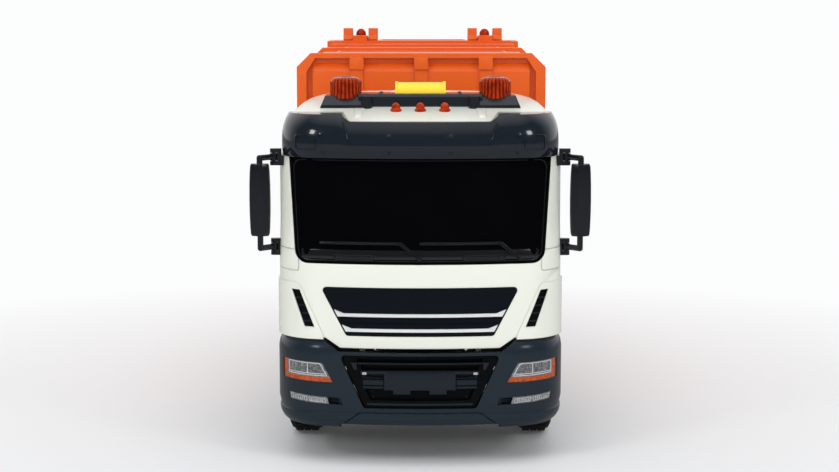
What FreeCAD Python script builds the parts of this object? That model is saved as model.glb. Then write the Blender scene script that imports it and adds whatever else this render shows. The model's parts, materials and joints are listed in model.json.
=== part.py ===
import FreeCAD, Part
import math
import os

# Toy refuse truck, about one sixteenth of full size. Millimetres, +Z up, front towards -Y.
# A station is measured backwards from the front of the bumper, half sizes from the middle.

# Whole truck
length = 630.0
mirror_half = 92.0
wall = 2.4
panel_gap = 0.4
seat_gap = 0.3
bore_gap = 0.06
overrun = 12.0

# Wheels and axles
wheel_radius = 31.0
tyre_width = 19.0
twin_width = 16.5
twin_gap = 2.5
tyre_shoulder = 3.5
rim_radius = 17.6
rim_wall = 2.4
disc_wall = 3.0
disc_inset = 3.0
hub_radius = 6.2
hand_hole_radius = 1.7
hand_hole_count = 8
stub_radius = 3.0
front_outer_half = 75.0
rear_outer_half = 74.0
front_axle_station = 88.0
rear_overhang = 25.0
bogie_spacing = 82.0
axle_tube_radius = 4.2
differential_radius = 10.5
beam_half_depth = 4.0
beam_height = 7.0

# Steering
kingpin_half = 50.0
kingpin_radius = 1.8
knuckle_eye_radius = 4.5
knuckle_plate = 2.4
knuckle_depth = 5.5
knuckle_web_half = 54.8
steer_arm_reach = 13.0
track_pin_radius = 1.2
track_rod_height = 2.2
track_rod_depth = 3.0

# Chassis
rail_inner_half = 21.0
rail_wall = 4.0
rail_bottom = 40.0
rail_top = 54.0
rail_front_station = 22.0
rail_setback = 3.0
cross_member_depth = 7.0
cross_member_height = 8.0
cross_member_shares = (0.08, 0.27, 0.46, 0.80, 0.98)
hanger_depth = 16.0
hanger_drop = 15.0
deck_height = 70.0

# Cab tilt pivot
tilt_station = 14.0
tilt_height = 38.0
tilt_eye_radius = 4.0
tilt_pin_radius = 1.8
tilt_arm_half = 30.5
tilt_arm_wall = 3.0
tilt_arm_back_station = 36.0
tilt_arm_width = 6.0

# Engine
engine_half = 17.0
engine_front_station = 40.0
engine_back_station = 112.0
engine_bottom = 38.5
engine_top = 64.0

# Side tanks, guards and mudguards
tank_front_station = 136.0
tank_back_share = 0.36
tank_inner_half = 29.0
tank_outer_half = 70.0
tank_bottom = 27.0
tank_top = 57.0
tank_corner = 6.0
battery_back_share = 0.29
guard_front_share = 0.406
guard_back_share = 0.951
guard_outer_half = 74.0
guard_wall = 2.6
guard_bar_height = 4.5
guard_low = 28.0
guard_high = 44.0
mudguard_wall = 1.2
mudguard_gap = 5.8
rear_mudguard_gap = 3.4
mudguard_stay = 1.5

# Bumper
bumper_half = 77.6
bumper_back_station = 50.0
bumper_bottom = 21.4
bumper_top = 68.6
bumper_roll = 4.2
bumper_profile_shares = (
    (0.000, 0.85), (0.035, 0.48), (0.080, 0.21), (0.125, 0.10), (0.155, 0.10), (0.170, 0.22),
    (0.270, 0.00), (0.850, 0.00), (0.911, 0.12), (0.955, 0.36), (0.987, 0.71), (1.000, 1.00),
)
apron_bottom = 23.4
apron_top = 30.3
apron_top_half = 32.2
apron_bottom_half = 41.8
seam_width = 0.45
seam_depth = 0.5
bumper_centre_top = 62.6
bumper_wall = 3.0
bow_radius = 260.0
bumper_corner = 32.0
arch_gap = 7.4
opening_top_half = 43.0
opening_top = 61.2
opening_bottom_half = 30.0
opening_bottom = 32.6
opening_corner = 2.0
notch_inner_half = 43.6
notch_outer_half = 51.6
bumper_beam_front_station = 12.0
bumper_beam_back_station = 20.0
bumper_beam_bottom = 24.5
bumper_beam_top = 30.0
step_low = 31.0
step_high = 47.0
step_height = 10.0
step_front_station = 34.0
step_depth = 4.0
step_tread = 2.0

# Bumper grille
insert_front_station = 7.0
insert_back_station = 9.3
insert_sink = 1.5
insert_flange = 1.1
slot_depth = 3.4
slot_shares = (
    (0.874, 0.941, 0.80), (0.727, 0.811, 0.79), (0.147, 0.364, 0.84),
)
plate_half = 19.3
plate_top = 52.3
plate_bottom = 42.6
plate_proud = 0.9
tab_half = 4.8
tab_drop = 2.2
slat_outer_half = 29.4
slat_height = 0.8
slat_shares = (0.46, 0.78)

# Lamps in the bumper
lamp_outer_half = 73.8
lamp_inner_top_half = 52.5
lamp_inner_bottom_half = 46.6
lamp_top = 56.9
lamp_bottom = 46.3
lens_outer_half = 71.4
lens_bottom = 48.9
lamp_depth = 2.6
fog_outer_half = 71.1
fog_inner_half = 49.8
fog_recess_half = 42.4
fog_top = 39.0
fog_bottom = 35.2
fog_fall = 1.1
fog_lean = 1.1

# Cab
cab_half = 76.5
header_half = cab_half - panel_gap
cab_front_station = 3.0
cab_back_station = 136.0
cab_corner = 26.0
cab_rear_corner = 5.0
cab_waist = 108.0
header_front_station = 12.5
lip_height = 64.7
lip_inner_half = 42.6
lip_outer_half = 50.5
roof_inset = 3.3
roof_half = cab_half - roof_inset
roof_front_station = 16.0
roof_rear_inset = 1.5
roof_shoulder = 184.5
roof_side = 18.5
roof_crown = 11.0
cab_header = roof_shoulder - roof_side
roof_top = roof_shoulder + roof_crown

# Windscreen and doors
screen_bottom = 109.8
screen_bottom_half = 66.5
screen_top_half = 70.6
screen_corner = 7.0
glass_wall = 1.4
glass_inset = 0.5
door_hinge_station = 39.4
door_back_station = 101.0
door_bottom = 73.0
door_header = 5.0
door_top = cab_header - door_header
door_corner = 5.0
door_edge_radius = 1.2
door_pin_radius = 0.8
door_pin_length = 2.2
door_glass_front_station = 45.5
door_glass_back_station = 95.5
door_glass_bottom = 111.0
door_glass_top = door_top - door_header

# Sun visor
visor_inset = 1.5
visor_half = cab_half - visor_inset
visor_back_station = 45.0
visor_rise = 4.0
visor_dip = 3.6
visor_bottom = cab_header - panel_gap
visor_top = roof_shoulder + visor_rise
visor_centre_top = visor_top - visor_dip
visor_front_station = 5.6
visor_upper_station = 13.5
visor_bump_inner_half = 37.4
visor_bump_outer_half = 42.2
visor_bump_round = 2.4
visor_step = 2.3
visor_profile_shares = (
    (0.00, 0.38, 0.00), (0.10, 0.16, 0.00), (0.22, 0.03, 0.00), (0.34, 0.00, 0.00),
    (0.46, 0.05, 0.22), (0.58, 0.14, 0.55), (0.70, 0.28, 0.85), (0.80, 0.46, 1.00),
    (0.88, 0.64, 1.00), (0.95, 0.83, 1.00), (1.00, 1.00, 1.00),
)
visor_trim_share = 0.45

# Roof bar and lamps
bar_half = 56.0
bar_front_station = 51.0
bar_back_station = 78.0
bar_rise = 1.9
bar_top = roof_top + bar_rise
bar_pod_inner_half = 31.0
pod_drop = 1.1
bar_pod_top = bar_top - pod_drop
bar_foot_half = 29.5
bar_foot_radius = 3.2
beacon_half = 41.5
beacon_radius = 9.1
beacon_rise = 10.2
beacon_top = bar_pod_top + beacon_rise
beacon_station = 64.0
beacon_dome = 2.6
beacon_foot = 1.6
beacon_rib_radius = 0.55
beacon_rib_count = 24
button_half = 14.0
button_radius = 6.0
button_flange = 0.5
button_station = 65.0
marker_half = 13.3
marker_radius = 2.4
marker_collar = 0.7
marker_station = 44.0
marker_rise = 8.9
marker_top = roof_shoulder + marker_rise

# Front panel
grille_top_half = 53.2
grille_top = 97.5
grille_bottom_half = 39.3
grille_bottom = 71.2
grille_corner = 2.0
grille_sink = 0.6
chrome_upper = 82.6
chrome_lower = 74.5
chrome_height = 1.7
chrome_proud = 0.5
chrome_wedge = 4.0
deflector_rise = 0.9
deflector_top = 99.2
deflector_inner_top_half = 64.6
deflector_inner_bottom_half = 51.6
deflector_drop = 0.9
pillar_seam_height = 105.2
pillar_seam_half = 64.6
vent_outer_top_half = 68.7
vent_inner_top_half = 64.4
vent_top = 95.4
vent_outer_bottom_half = 61.7
vent_inner_bottom_half = 56.4
vent_bottom = 75.6
wiper_height = 1.5
wiper_proud = 0.8
wiper_level = 121.0
wiper_pivot_level = 111.5
wiper_blade_half = 21.2
left_wiper_middle = -32.4
right_wiper_middle = 20.9
wiper_arm_run = 12.0

# Cab inside
dash_back_station = 33.0
dash_bottom = 92.0
dash_top = 106.0
steering_wheel_radius = 9.5
steering_wheel_tube = 1.2
steering_wheel_half = 34.0
steering_wheel_station = 45.0
steering_wheel_level = 116.0
seat_inner_half = 16.0
seat_outer_half = 56.0
seat_front_station = 64.0
seat_back_station = 112.0
seat_base_top = 98.0
seat_back_wall = 12.0
seat_back_top = 142.0
seat_corner = 4.0

# Mirrors
mirror_inner_half = 80.8
mirror_front_station = 21.5
mirror_back_station = 30.5
mirror_rise = 39.0
mirror_gap = 3.1
mirror_corner = 1.4
mirror_draw = 1.0
mirror_plan_shares = (
    (0.00, 0.26), (0.34, 0.00), (0.64, 0.04), (1.00, 0.30), (1.00, 0.86), (0.00, 0.86),
)
mirror_bulge_shares = ((0.00, 1.00), (0.03, 0.55), (0.12, 0.30), (0.30, 0.08), (0.50, 0.00))
mirror_pivot_half = 79.4
mirror_pivot_station = 33.6
mirror_pin_radius = 0.9
mirror_eye_radius = 2.0
mirror_arm_radius = 1.6
mirror_upper_drop = 1.4
mirror_upper_level = cab_header - mirror_upper_drop
mirror_top = mirror_upper_level - mirror_gap
mirror_bottom = mirror_top - mirror_rise
mirror_lower_drop = 6.9
mirror_lower_level = mirror_bottom - mirror_lower_drop
mirror_eye_height = 4.0
mirror_lug_wall = 2.2

# Refuse body
body_front_station = 160.0
tail_length = 179.0
body_back_station = length - tail_length
body_half = 76.0
hoop_rise = 2.4
body_skin_half = body_half - hoop_rise
body_top = 216.5
skin_drop = 2.3
body_skin_top = body_top - skin_drop
body_chamfer = 8.4
body_wall = 2.4
body_floor_wall = 3.0
rim_depth = 5.0
rim_height = 6.0
panel_proud = 3.4
panel_slope = 5.0
bulkhead_station = 164.6
rib_width = 8.0
rib_half_spacing = 31.8
rib_proud = 1.2
hoop_width = 8.0
hoop_share_front = 0.43
hoop_share_back = 0.77
rear_frame_width = 10.0
rear_frame_rise = 1.2
rear_frame_top = body_top + rear_frame_rise
subframe_front_station = 172.0
subframe_back_station = body_back_station - rail_setback * 2

# Push plate
plate_front_station = 171.0
plate_depth = 14.0
plate_wall = 3.0
plate_clearance = 0.5

# Tailgate
tail_seam = 1.0
tail_depth = 152.0
tail_front_station = body_back_station + tail_seam
tail_back_station = tail_front_station + tail_depth
tail_inset = 2.0
tail_half = body_half - tail_inset
tail_rise = 0.5
tail_top = body_top + tail_rise
tail_bottom = 34.0
tail_wall = 2.6
tail_corner = 7.0
tail_outline_shares = (
    (0.00, 0.13), (0.00, 1.00), (0.33, 1.00), (0.72, 0.86), (0.82, 0.72),
    (1.00, 0.30), (1.00, 0.14), (0.84, 0.00), (0.20, 0.00),
)
mouth_upper_share = 0.72
mouth_lower_share = 0.30
hinge_setback = 5.0
hinge_station = body_back_station + hinge_setback
hinge_height = 218.6
hinge_pin_radius = 1.6
hinge_lug_radius = 3.0
hinge_lug_inner_half = 42.6
hinge_lug_outer_half = 54.0
ear_wall = 7.0
ear_gap = 0.5
ear_rise = 8.4
ear_length = 16.0
ear_sink = 2.6
rear_beacon_radius = 3.9
rear_beacon_setback = 10.5
rear_beacon_rise = 9.4
tail_lamp_inner_half = 24.0
tail_lamp_outer_half = 40.0
tail_lamp_bottom = 37.5
tail_lamp_top = 45.5
tail_lamp_depth = 2.6
lamp_bar_depth = 4.0
lamp_bar_top = 49.0
lamp_bar_bottom = 35.5

# Packer blade
packer_setback = 54.0
packer_station = tail_front_station + packer_setback
packer_height = 170.0
packer_shaft_radius = 2.6
packer_reach = 112.0
packer_wall = 3.0
packer_rest_angle = 14.0
packer_side_gap = 0.6

# Bin lift
lift_pin_reach = 5.0
lift_plate_setback = 2.5
lift_shelf_depth = 14.5
lift_stop_depth = 18.5
lift_station = tail_back_station + lift_pin_reach
lift_height = 84.0
lift_pin_radius = 1.6
lift_eye_radius = 4.2
lift_half = 46.5
lift_arm_wall = 3.2
lift_plate_front_station = lift_station + lift_plate_setback
lift_plate_wall = 2.6
lift_plate_bottom = 51.0
lift_plate_top = 73.5
lift_shelf_wall = 3.0
lift_shelf_back_station = lift_plate_front_station + lift_shelf_depth
lift_tooth_count = 7
lift_tooth_width = 4.0
lift_tooth_depth = 3.6
lift_tooth_top = 80.0
lift_stop_inner_half = 20.0
lift_stop_outer_half = 31.0
lift_stop_height = 7.0

# Rider steps
rider_inner_half = 51.0
rider_outer_half = 72.0
rider_reach = 23.0
rider_back_station = tail_back_station + rider_reach
rider_wall = 2.2
rider_hinge_height = 36.8
rider_pin_radius = 1.0
rider_eye_radius = 2.0

second_rear_station = body_back_station - rear_overhang
first_rear_station = second_rear_station - bogie_spacing
wheelbase = first_rear_station - front_axle_station
axle_height = wheel_radius
rail_back_station = body_back_station - rail_setback
side_space = first_rear_station - wheel_radius - rear_mudguard_gap - mudguard_wall - tank_front_station
tank_back_station = tank_front_station + side_space * tank_back_share
battery_back_station = tank_front_station + side_space * battery_back_share
guard_front_station = tank_front_station + side_space * guard_front_share
guard_back_station = tank_front_station + side_space * guard_back_share
ear_top = hinge_height + ear_rise
ear_root = tail_top - ear_sink
rear_beacon_station = hinge_station + rear_beacon_setback
rear_beacon_top = max(ear_top - ear_gap, tail_top + rear_beacon_rise)
rider_hinge_station = tail_back_station + lamp_bar_depth + rider_eye_radius + seat_gap


def vec(x, station, z):
    return FreeCAD.Vector(x, station - length / 2, z)


def block(x0, x1, s0, s1, z0, z1):
    return Part.makeBox(x1 - x0, s1 - s0, z1 - z0, vec(x0, s0, z0))


def rod(start, end, radius):
    axis = end - start
    return Part.makeCylinder(radius, axis.Length, start, axis)


def cross_rod(x0, x1, station, z, radius):
    return rod(vec(x0, station, z), vec(x1, station, z), radius)


def upright(x, station, z0, z1, radius):
    return rod(vec(x, station, z0), vec(x, station, z1), radius)


def joined(shapes):
    return shapes[0].fuse(list(shapes[1:])).removeSplitter()


def loose(shapes):
    return Part.makeCompound([solid for shape in shapes for solid in shape.Solids])


def mirrored(shape):
    return shape.mirror(FreeCAD.Vector(0, 0, 0), FreeCAD.Vector(1, 0, 0))


def pair(shape):
    return loose([shape, mirrored(shape)])


def both(shape):
    return [shape, mirrored(shape)]


def outline(points, radius=0):
    """A closed wire through the points, each corner rounded to the radius."""
    count = len(points)
    radii = radius if isinstance(radius, (list, tuple)) else [radius] * count
    entries, exits, edges = [], [], []
    for index, point in enumerate(points):
        before = points[index - 1] - point
        after = points[(index + 1) % count] - point
        if not radii[index]:
            entries.append(point)
            exits.append(point)
            continue
        half_angle = before.getAngle(after) / 2
        setback = radii[index] / math.tan(half_angle)
        before.normalize()
        after.normalize()
        entry = point + before * setback
        leave = point + after * setback
        bisector = before + after
        bisector.normalize()
        centre_distance = radii[index] / math.sin(half_angle)
        middle = point + bisector * (centre_distance - radii[index])
        entries.append(entry)
        exits.append(leave)
        edges.append((index, Part.Arc(entry, middle, leave).toShape()))
    lines = []
    for index in range(count):
        start = exits[index]
        end = entries[(index + 1) % count]
        if (end - start).Length > panel_gap / 1000:
            lines.append((index + 1 / 2, Part.LineSegment(start, end).toShape()))
    ordered = [edge for _, edge in sorted(edges + lines, key=lambda item: item[0])]
    return Part.Wire(ordered)


def side_prism(points, x0, x1, radius=0):
    """Pushes an outline of stations and heights across the truck."""
    face = Part.Face(outline([vec(x0, station, z) for station, z in points], radius))
    return face.extrude(FreeCAD.Vector(x1 - x0, 0, 0))


def front_prism(points, s0, s1, radius=0):
    """Pushes an outline of side distances and heights backwards."""
    face = Part.Face(outline([vec(x, s0, z) for x, z in points], radius))
    return face.extrude(FreeCAD.Vector(0, s1 - s0, 0))


def plan_prism(points, z0, z1, radius=0):
    """Pushes an outline of side distances and stations upwards."""
    face = Part.Face(outline([vec(x, station, z0) for x, station in points], radius))
    return face.extrude(FreeCAD.Vector(0, 0, z1 - z0))


def plan_wire(half, front, back, corner, rear_corner, z, bow=bow_radius, dent=None):
    """Plan of the nose: a bowed front, round corners, straight sides and a flat back.

    With a dent the middle of the front is set back between the visor's bumps.
    """
    bow_centre = front + bow
    corner_x = half - corner
    corner_s = bow_centre - math.sqrt((bow - corner) ** 2 - corner_x ** 2)
    reach = bow / (bow - corner)
    meet_x = corner_x * reach
    meet_s = bow_centre + (corner_s - bow_centre) * reach
    side_angle = math.atan2(corner_s - meet_s, meet_x - corner_x)
    turn = side_angle / 2
    mid_x = corner_x + corner * math.cos(turn)
    mid_s = corner_s - corner * math.sin(turn)
    diagonal = rear_corner * (1 - math.sqrt(1 / 2))
    right = [
        Part.Arc(vec(meet_x, meet_s, z), vec(mid_x, mid_s, z), vec(half, corner_s, z)),
        Part.LineSegment(vec(half, corner_s, z), vec(half, back - rear_corner, z)),
        Part.Arc(
            vec(half, back - rear_corner, z),
            vec(half - diagonal, back - diagonal, z),
            vec(half - rear_corner, back, z),
        ),
    ]
    left = [
        Part.Arc(
            vec(rear_corner - half, back, z),
            vec(diagonal - half, back - diagonal, z),
            vec(-half, back - rear_corner, z),
        ),
        Part.LineSegment(vec(-half, back - rear_corner, z), vec(-half, corner_s, z)),
        Part.Arc(vec(-half, corner_s, z), vec(-mid_x, mid_s, z), vec(-meet_x, meet_s, z)),
    ]
    back_line = Part.LineSegment(vec(half - rear_corner, back, z), vec(rear_corner - half, back, z))
    start, end = vec(-meet_x, meet_s, z), vec(meet_x, meet_s, z)
    front_curves = [Part.Arc(start, vec(0, front, z), end)]
    if dent is not None:
        inner, outer = visor_bump_inner_half, visor_bump_outer_half

        def nose(x, sink):
            return vec(x, bow_centre - math.sqrt(bow ** 2 - x ** 2) + sink, z)

        front_curves = [
            Part.Arc(start, nose(-(meet_x + outer) / 2, 0), nose(-outer, 0)),
            Part.LineSegment(nose(-outer, 0), nose(-inner, dent)),
            Part.Arc(nose(-inner, dent), nose(0, dent), nose(inner, dent)),
            Part.LineSegment(nose(inner, dent), nose(outer, 0)),
            Part.Arc(nose(outer, 0), nose((meet_x + outer) / 2, 0), end),
        ]
    curves = front_curves + right + [back_line] + left
    return Part.Wire([curve.toShape() for curve in curves])


def stacked(wires):
    return Part.makeLoft(wires, True, True)


def write(name, shape):
    shape.exportStep("parts/" + name + ".step")


# Bumper

def bumper_form(inset, beyond=0):
    """Outside of the bumper: tucked in below a lip, upright, and rolled in along its top."""
    rise = bumper_top - bumper_bottom
    levels = [
        (bumper_bottom + rise * up, inset + bumper_roll * tuck) for up, tuck in bumper_profile_shares
    ]
    if beyond:
        levels.insert(0, (bumper_bottom - beyond, levels[0][1]))
        levels.append((bumper_top + beyond, levels[-1][1]))
    return stacked([
        plan_wire(
            bumper_half - tuck, tuck, bumper_back_station, bumper_corner - tuck,
            bumper_wall / 2, z, bow_radius - tuck,
        )
        for z, tuck in levels
    ])


def trapezium(top_half, top, bottom_half, bottom):
    return [(-top_half, top), (top_half, top), (bottom_half, bottom), (-bottom_half, bottom)]


def lamp_points(outer, bottom):
    lift = bottom - lamp_bottom
    slide = (lamp_inner_top_half - lamp_inner_bottom_half) * lift / (lamp_top - lamp_bottom)
    return [
        (outer, lamp_top),
        (lamp_inner_top_half, lamp_top),
        (lamp_inner_bottom_half + slide, bottom),
        (outer, bottom),
    ]


def fog_points(inner):
    fall = fog_fall * (fog_outer_half - inner) / (fog_outer_half - fog_recess_half)
    return [
        (fog_outer_half, fog_top), (inner, fog_top - fall),
        (inner - fog_lean, fog_bottom - fall), (fog_outer_half - fog_lean, fog_bottom),
    ]


def seam_band(points, radius=0):
    """A thin closed band along an outline seen from the front, pushed back through the nose."""
    face = Part.Face(outline([vec(x, -overrun, z) for x, z in points], radius))
    band = face.cut(face.makeOffset2D(-seam_width))
    return band.extrude(FreeCAD.Vector(0, overrun + bumper_corner, 0))


def wheel_arch():
    return cross_rod(
        knuckle_web_half, bumper_half + overrun, front_axle_station, axle_height,
        wheel_radius + arch_gap,
    )


def bumper():
    shell = bumper_form(0).cut(bumper_form(bumper_wall, overrun))
    opening = front_prism(
        trapezium(opening_top_half, opening_top, opening_bottom_half, opening_bottom),
        -overrun, insert_front_station + overrun, opening_corner,
    )
    notch = front_prism(
        [
            (-notch_outer_half, bumper_top), (-notch_inner_half, bumper_centre_top),
            (notch_inner_half, bumper_centre_top), (notch_outer_half, bumper_top),
            (notch_outer_half, bumper_top + overrun), (-notch_outer_half, bumper_top + overrun),
        ],
        -overrun, bumper_corner,
    )
    apron_gap = front_prism(
        trapezium(
            apron_bottom_half, apron_bottom, apron_bottom_half + bumper_roll, bumper_bottom - overrun,
        ),
        -overrun, bumper_corner,
    )
    below = bumper_bottom - overrun
    spread = (apron_bottom_half - apron_top_half) / (apron_top - apron_bottom)
    apron = trapezium(
        apron_top_half, apron_top, apron_top_half + (apron_top - below) * spread, below,
    )
    seam_floor = bumper_form(seam_depth, overrun)
    cuts = [opening, notch, apron_gap, seam_band(apron).cut(seam_floor)]
    pocket = bumper_form(lamp_depth, overrun)
    lamp_cut = front_prism(lamp_points(lamp_outer_half, lamp_bottom), -overrun, bumper_corner)
    fog_cut = front_prism(fog_points(fog_recess_half), -overrun, bumper_corner)
    cuts += both(lamp_cut.cut(pocket)) + both(fog_cut.cut(pocket))
    steps = []
    for level in (step_low, step_high):
        cuts += both(block(
            bumper_half - bumper_wall - bore_gap, bumper_half + overrun,
            step_front_station, bumper_back_station - bumper_wall * 2,
            level, level + step_height,
        ))
        tray = block(
            bumper_half - bumper_wall - step_depth, bumper_half - bumper_wall / 2,
            step_front_station - step_tread, bumper_back_station - bumper_wall * 2 + step_tread,
            level - step_tread, level,
        )
        back = block(
            bumper_half - bumper_wall - step_depth, bumper_half - bumper_wall - step_depth + step_tread,
            step_front_station - step_tread, bumper_back_station - bumper_wall * 2 + step_tread,
            level - step_tread, level + step_height + step_tread,
        )
        roof = tray.copy()
        roof.translate(FreeCAD.Vector(0, 0, step_height + step_tread))
        front = block(
            bumper_half - bumper_wall - step_depth, bumper_half - bumper_wall / 2,
            step_front_station - step_tread, step_front_station,
            level - step_tread, level + step_height + step_tread,
        )
        rear = block(
            bumper_half - bumper_wall - step_depth, bumper_half - bumper_wall / 2,
            bumper_back_station - bumper_wall * 2, bumper_back_station - bumper_wall * 2 + step_tread,
            level - step_tread, level + step_height + step_tread,
        )
        steps += both(joined([tray, back, roof, front, rear]))
    beam = block(
        -bumper_half, bumper_half, bumper_beam_front_station, bumper_beam_back_station,
        bumper_beam_bottom, bumper_beam_top,
    ).common(bumper_form(bumper_wall / 2))
    whole = joined([shell, beam] + steps)
    return whole.cut(cuts + both(wheel_arch())).removeSplitter()


def opening_half(share):
    return opening_bottom_half + (opening_top_half - opening_bottom_half) * share


def bumper_grille():
    """Bowed insert in the bumper's opening, with slots let in and a blank plate raised on it."""
    plate = front_prism(
        trapezium(
            opening_top_half, opening_top + insert_flange,
            opening_bottom_half, opening_bottom - insert_flange,
        ),
        insert_front_station, insert_back_station,
    )
    opening_rise = opening_top - opening_bottom
    fill = front_prism(
        trapezium(
            opening_top_half - panel_gap * 3 / 2, opening_top - panel_gap,
            opening_bottom_half - panel_gap, opening_bottom + panel_gap,
        ),
        -overrun, insert_back_station, opening_corner,
    )
    raised = [
        (-plate_half, plate_top), (plate_half, plate_top), (plate_half, plate_bottom),
        (-plate_half, plate_bottom),
    ]
    face = bumper_form(insert_sink - plate_proud)
    pieces = [plate, fill.common(bumper_form(insert_sink))]
    pieces.append(front_prism(raised, -overrun, insert_back_station).common(face))
    for middle in (-plate_half / 2, plate_half / 2):
        tab = [
            (middle - tab_half, plate_bottom), (middle + tab_half, plate_bottom),
            (middle + tab_half, plate_bottom - tab_drop), (middle - tab_half, plate_bottom - tab_drop),
        ]
        pieces.append(front_prism(tab, -overrun, insert_back_station).common(face))
    kept = block(
        -plate_half, plate_half, -overrun, insert_back_station, plate_bottom, plate_top,
    )
    slot_floor = bumper_form(insert_sink + slot_depth)
    slots = []
    for low, high, width in slot_shares:
        slots.append(front_prism(
            trapezium(
                opening_half(high) * width, opening_bottom + opening_rise * high,
                opening_half(low) * width, opening_bottom + opening_rise * low,
            ),
            -overrun, insert_back_station,
        ))
    for share in slat_shares:
        level = plate_bottom + (plate_top - plate_bottom) * share
        slots += both(block(
            plate_half, slat_outer_half, -overrun, insert_back_station,
            level - slat_height / 2, level + slat_height / 2,
        ))
    slots = [slot.cut([slot_floor, kept]) for slot in slots]
    tabs = pieces[3:]
    return joined(pieces).cut([slot.cut(tabs) for slot in slots])


def lamp_skin(points):
    return bumper_form(seat_gap).cut(bumper_form(lamp_depth)).common(
        front_prism(points, -overrun, bumper_corner)
    )


def headlights():
    lens = lamp_skin(lamp_points(lens_outer_half, lens_bottom))
    fog = lamp_skin(fog_points(fog_inner_half))
    return loose(both(lens) + both(fog))


def indicators():
    border = lamp_skin(lamp_points(lamp_outer_half, lamp_bottom))
    lens = front_prism(lamp_points(lens_outer_half, lens_bottom), -overrun, bumper_corner)
    return pair(border.cut(lens))


# Chassis

def chassis_frame():
    rail = block(
        rail_inner_half, rail_inner_half + rail_wall, rail_front_station, rail_back_station,
        rail_bottom, rail_top,
    )
    pieces = both(rail)
    run = rail_back_station - engine_back_station
    for share in cross_member_shares:
        start = engine_back_station + run * share - cross_member_depth / 2
        pieces.append(block(
            -rail_inner_half, rail_inner_half, start, start + cross_member_depth,
            rail_top - cross_member_height, rail_top,
        ))
    for station in (first_rear_station, second_rear_station):
        pieces += both(block(
            rail_inner_half, rail_inner_half + rail_wall,
            station - hanger_depth / 2, station + hanger_depth / 2,
            rail_bottom - hanger_drop, rail_bottom,
        ))
    pieces += both(block(
        rail_inner_half, rail_inner_half + rail_wall,
        front_axle_station - beam_half_depth, front_axle_station + beam_half_depth,
        axle_height + beam_height / 2, rail_bottom,
    ))
    bracket = side_prism(
        [
            (tilt_station, tilt_height - tilt_eye_radius),
            (rail_front_station + tilt_arm_width * 2, tilt_height - tilt_eye_radius),
            (rail_front_station + tilt_arm_width * 2, rail_top),
            (rail_front_station, rail_top),
            (tilt_station, tilt_height + tilt_eye_radius),
        ],
        rail_inner_half + rail_wall, tilt_arm_half - seat_gap,
    )
    eye = cross_rod(
        rail_inner_half + rail_wall, tilt_arm_half - seat_gap, tilt_station, tilt_height,
        tilt_eye_radius,
    )
    leg = block(
        rail_inner_half + rail_wall, tilt_arm_half - seat_gap, tilt_station,
        bumper_beam_back_station, bumper_beam_top, tilt_height,
    )
    pin = cross_rod(
        tilt_arm_half - seat_gap, tilt_arm_half + tilt_arm_wall, tilt_station, tilt_height,
        tilt_pin_radius,
    )
    pieces += both(joined([bracket, eye, leg, pin]))
    pieces += both(block(
        rail_inner_half, rail_inner_half + rail_wall,
        cab_back_station - tilt_arm_width * 2, cab_back_station - tilt_arm_width,
        rail_top, deck_height - seat_gap,
    ))
    frame = joined(pieces)
    bores = [
        cross_rod(
            -rail_inner_half - overrun, rail_inner_half + overrun, station, axle_height,
            axle_tube_radius,
        )
        for station in (first_rear_station, second_rear_station)
    ]
    return frame.cut(bores).removeSplitter()


def engine_block():
    core = block(
        -engine_half, engine_half, engine_front_station, engine_back_station,
        engine_bottom, engine_top,
    )
    lugs = []
    for station in (engine_front_station + engine_half, engine_back_station - engine_half):
        lugs += both(block(
            engine_half, rail_inner_half, station, station + rail_wall, rail_bottom,
            rail_top - rail_wall,
        ))
    return joined([core] + lugs)


def front_axle():
    beam = block(
        -kingpin_half, kingpin_half, front_axle_station - beam_half_depth,
        front_axle_station + beam_half_depth, axle_height - beam_height / 2,
        axle_height + beam_height / 2,
    )
    eyes = both(upright(
        kingpin_half, front_axle_station, axle_height - beam_height / 2,
        axle_height + beam_height / 2, knuckle_eye_radius,
    ))
    bores = both(upright(
        kingpin_half, front_axle_station, axle_height - beam_height,
        axle_height + beam_height, kingpin_radius + bore_gap,
    ))
    return joined([beam] + eyes).cut(bores)


def knuckle():
    half_eye = beam_height / 2
    plate_low = axle_height - half_eye - seat_gap - knuckle_plate
    plate_high = axle_height + half_eye + seat_gap
    pieces = []
    for level in (plate_low, plate_high):
        pieces.append(block(
            kingpin_half, knuckle_web_half + knuckle_plate,
            front_axle_station - knuckle_depth, front_axle_station + knuckle_depth,
            level, level + knuckle_plate,
        ))
        pieces.append(upright(
            kingpin_half, front_axle_station, level, level + knuckle_plate, knuckle_depth,
        ))
    pieces.append(block(
        knuckle_web_half, knuckle_web_half + knuckle_plate,
        front_axle_station - knuckle_depth, front_axle_station + knuckle_depth,
        plate_low, plate_high + knuckle_plate,
    ))
    pieces.append(upright(
        kingpin_half, front_axle_station, plate_low, plate_high + knuckle_plate, kingpin_radius,
    ))
    pieces.append(cross_rod(
        knuckle_web_half, front_outer_half - disc_inset - disc_wall, front_axle_station,
        axle_height, stub_radius,
    ))
    arm_station = front_axle_station + steer_arm_reach
    pieces.append(block(
        kingpin_half - track_rod_depth, kingpin_half + track_rod_depth,
        front_axle_station, arm_station, plate_low, plate_low + knuckle_plate,
    ))
    pieces.append(upright(
        kingpin_half, arm_station, plate_low, plate_low + knuckle_plate, track_rod_depth,
    ))
    pieces.append(upright(
        kingpin_half, arm_station, plate_low,
        plate_low + knuckle_plate + seat_gap * 2 + track_rod_height, track_pin_radius,
    ))
    return joined(pieces)


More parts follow.
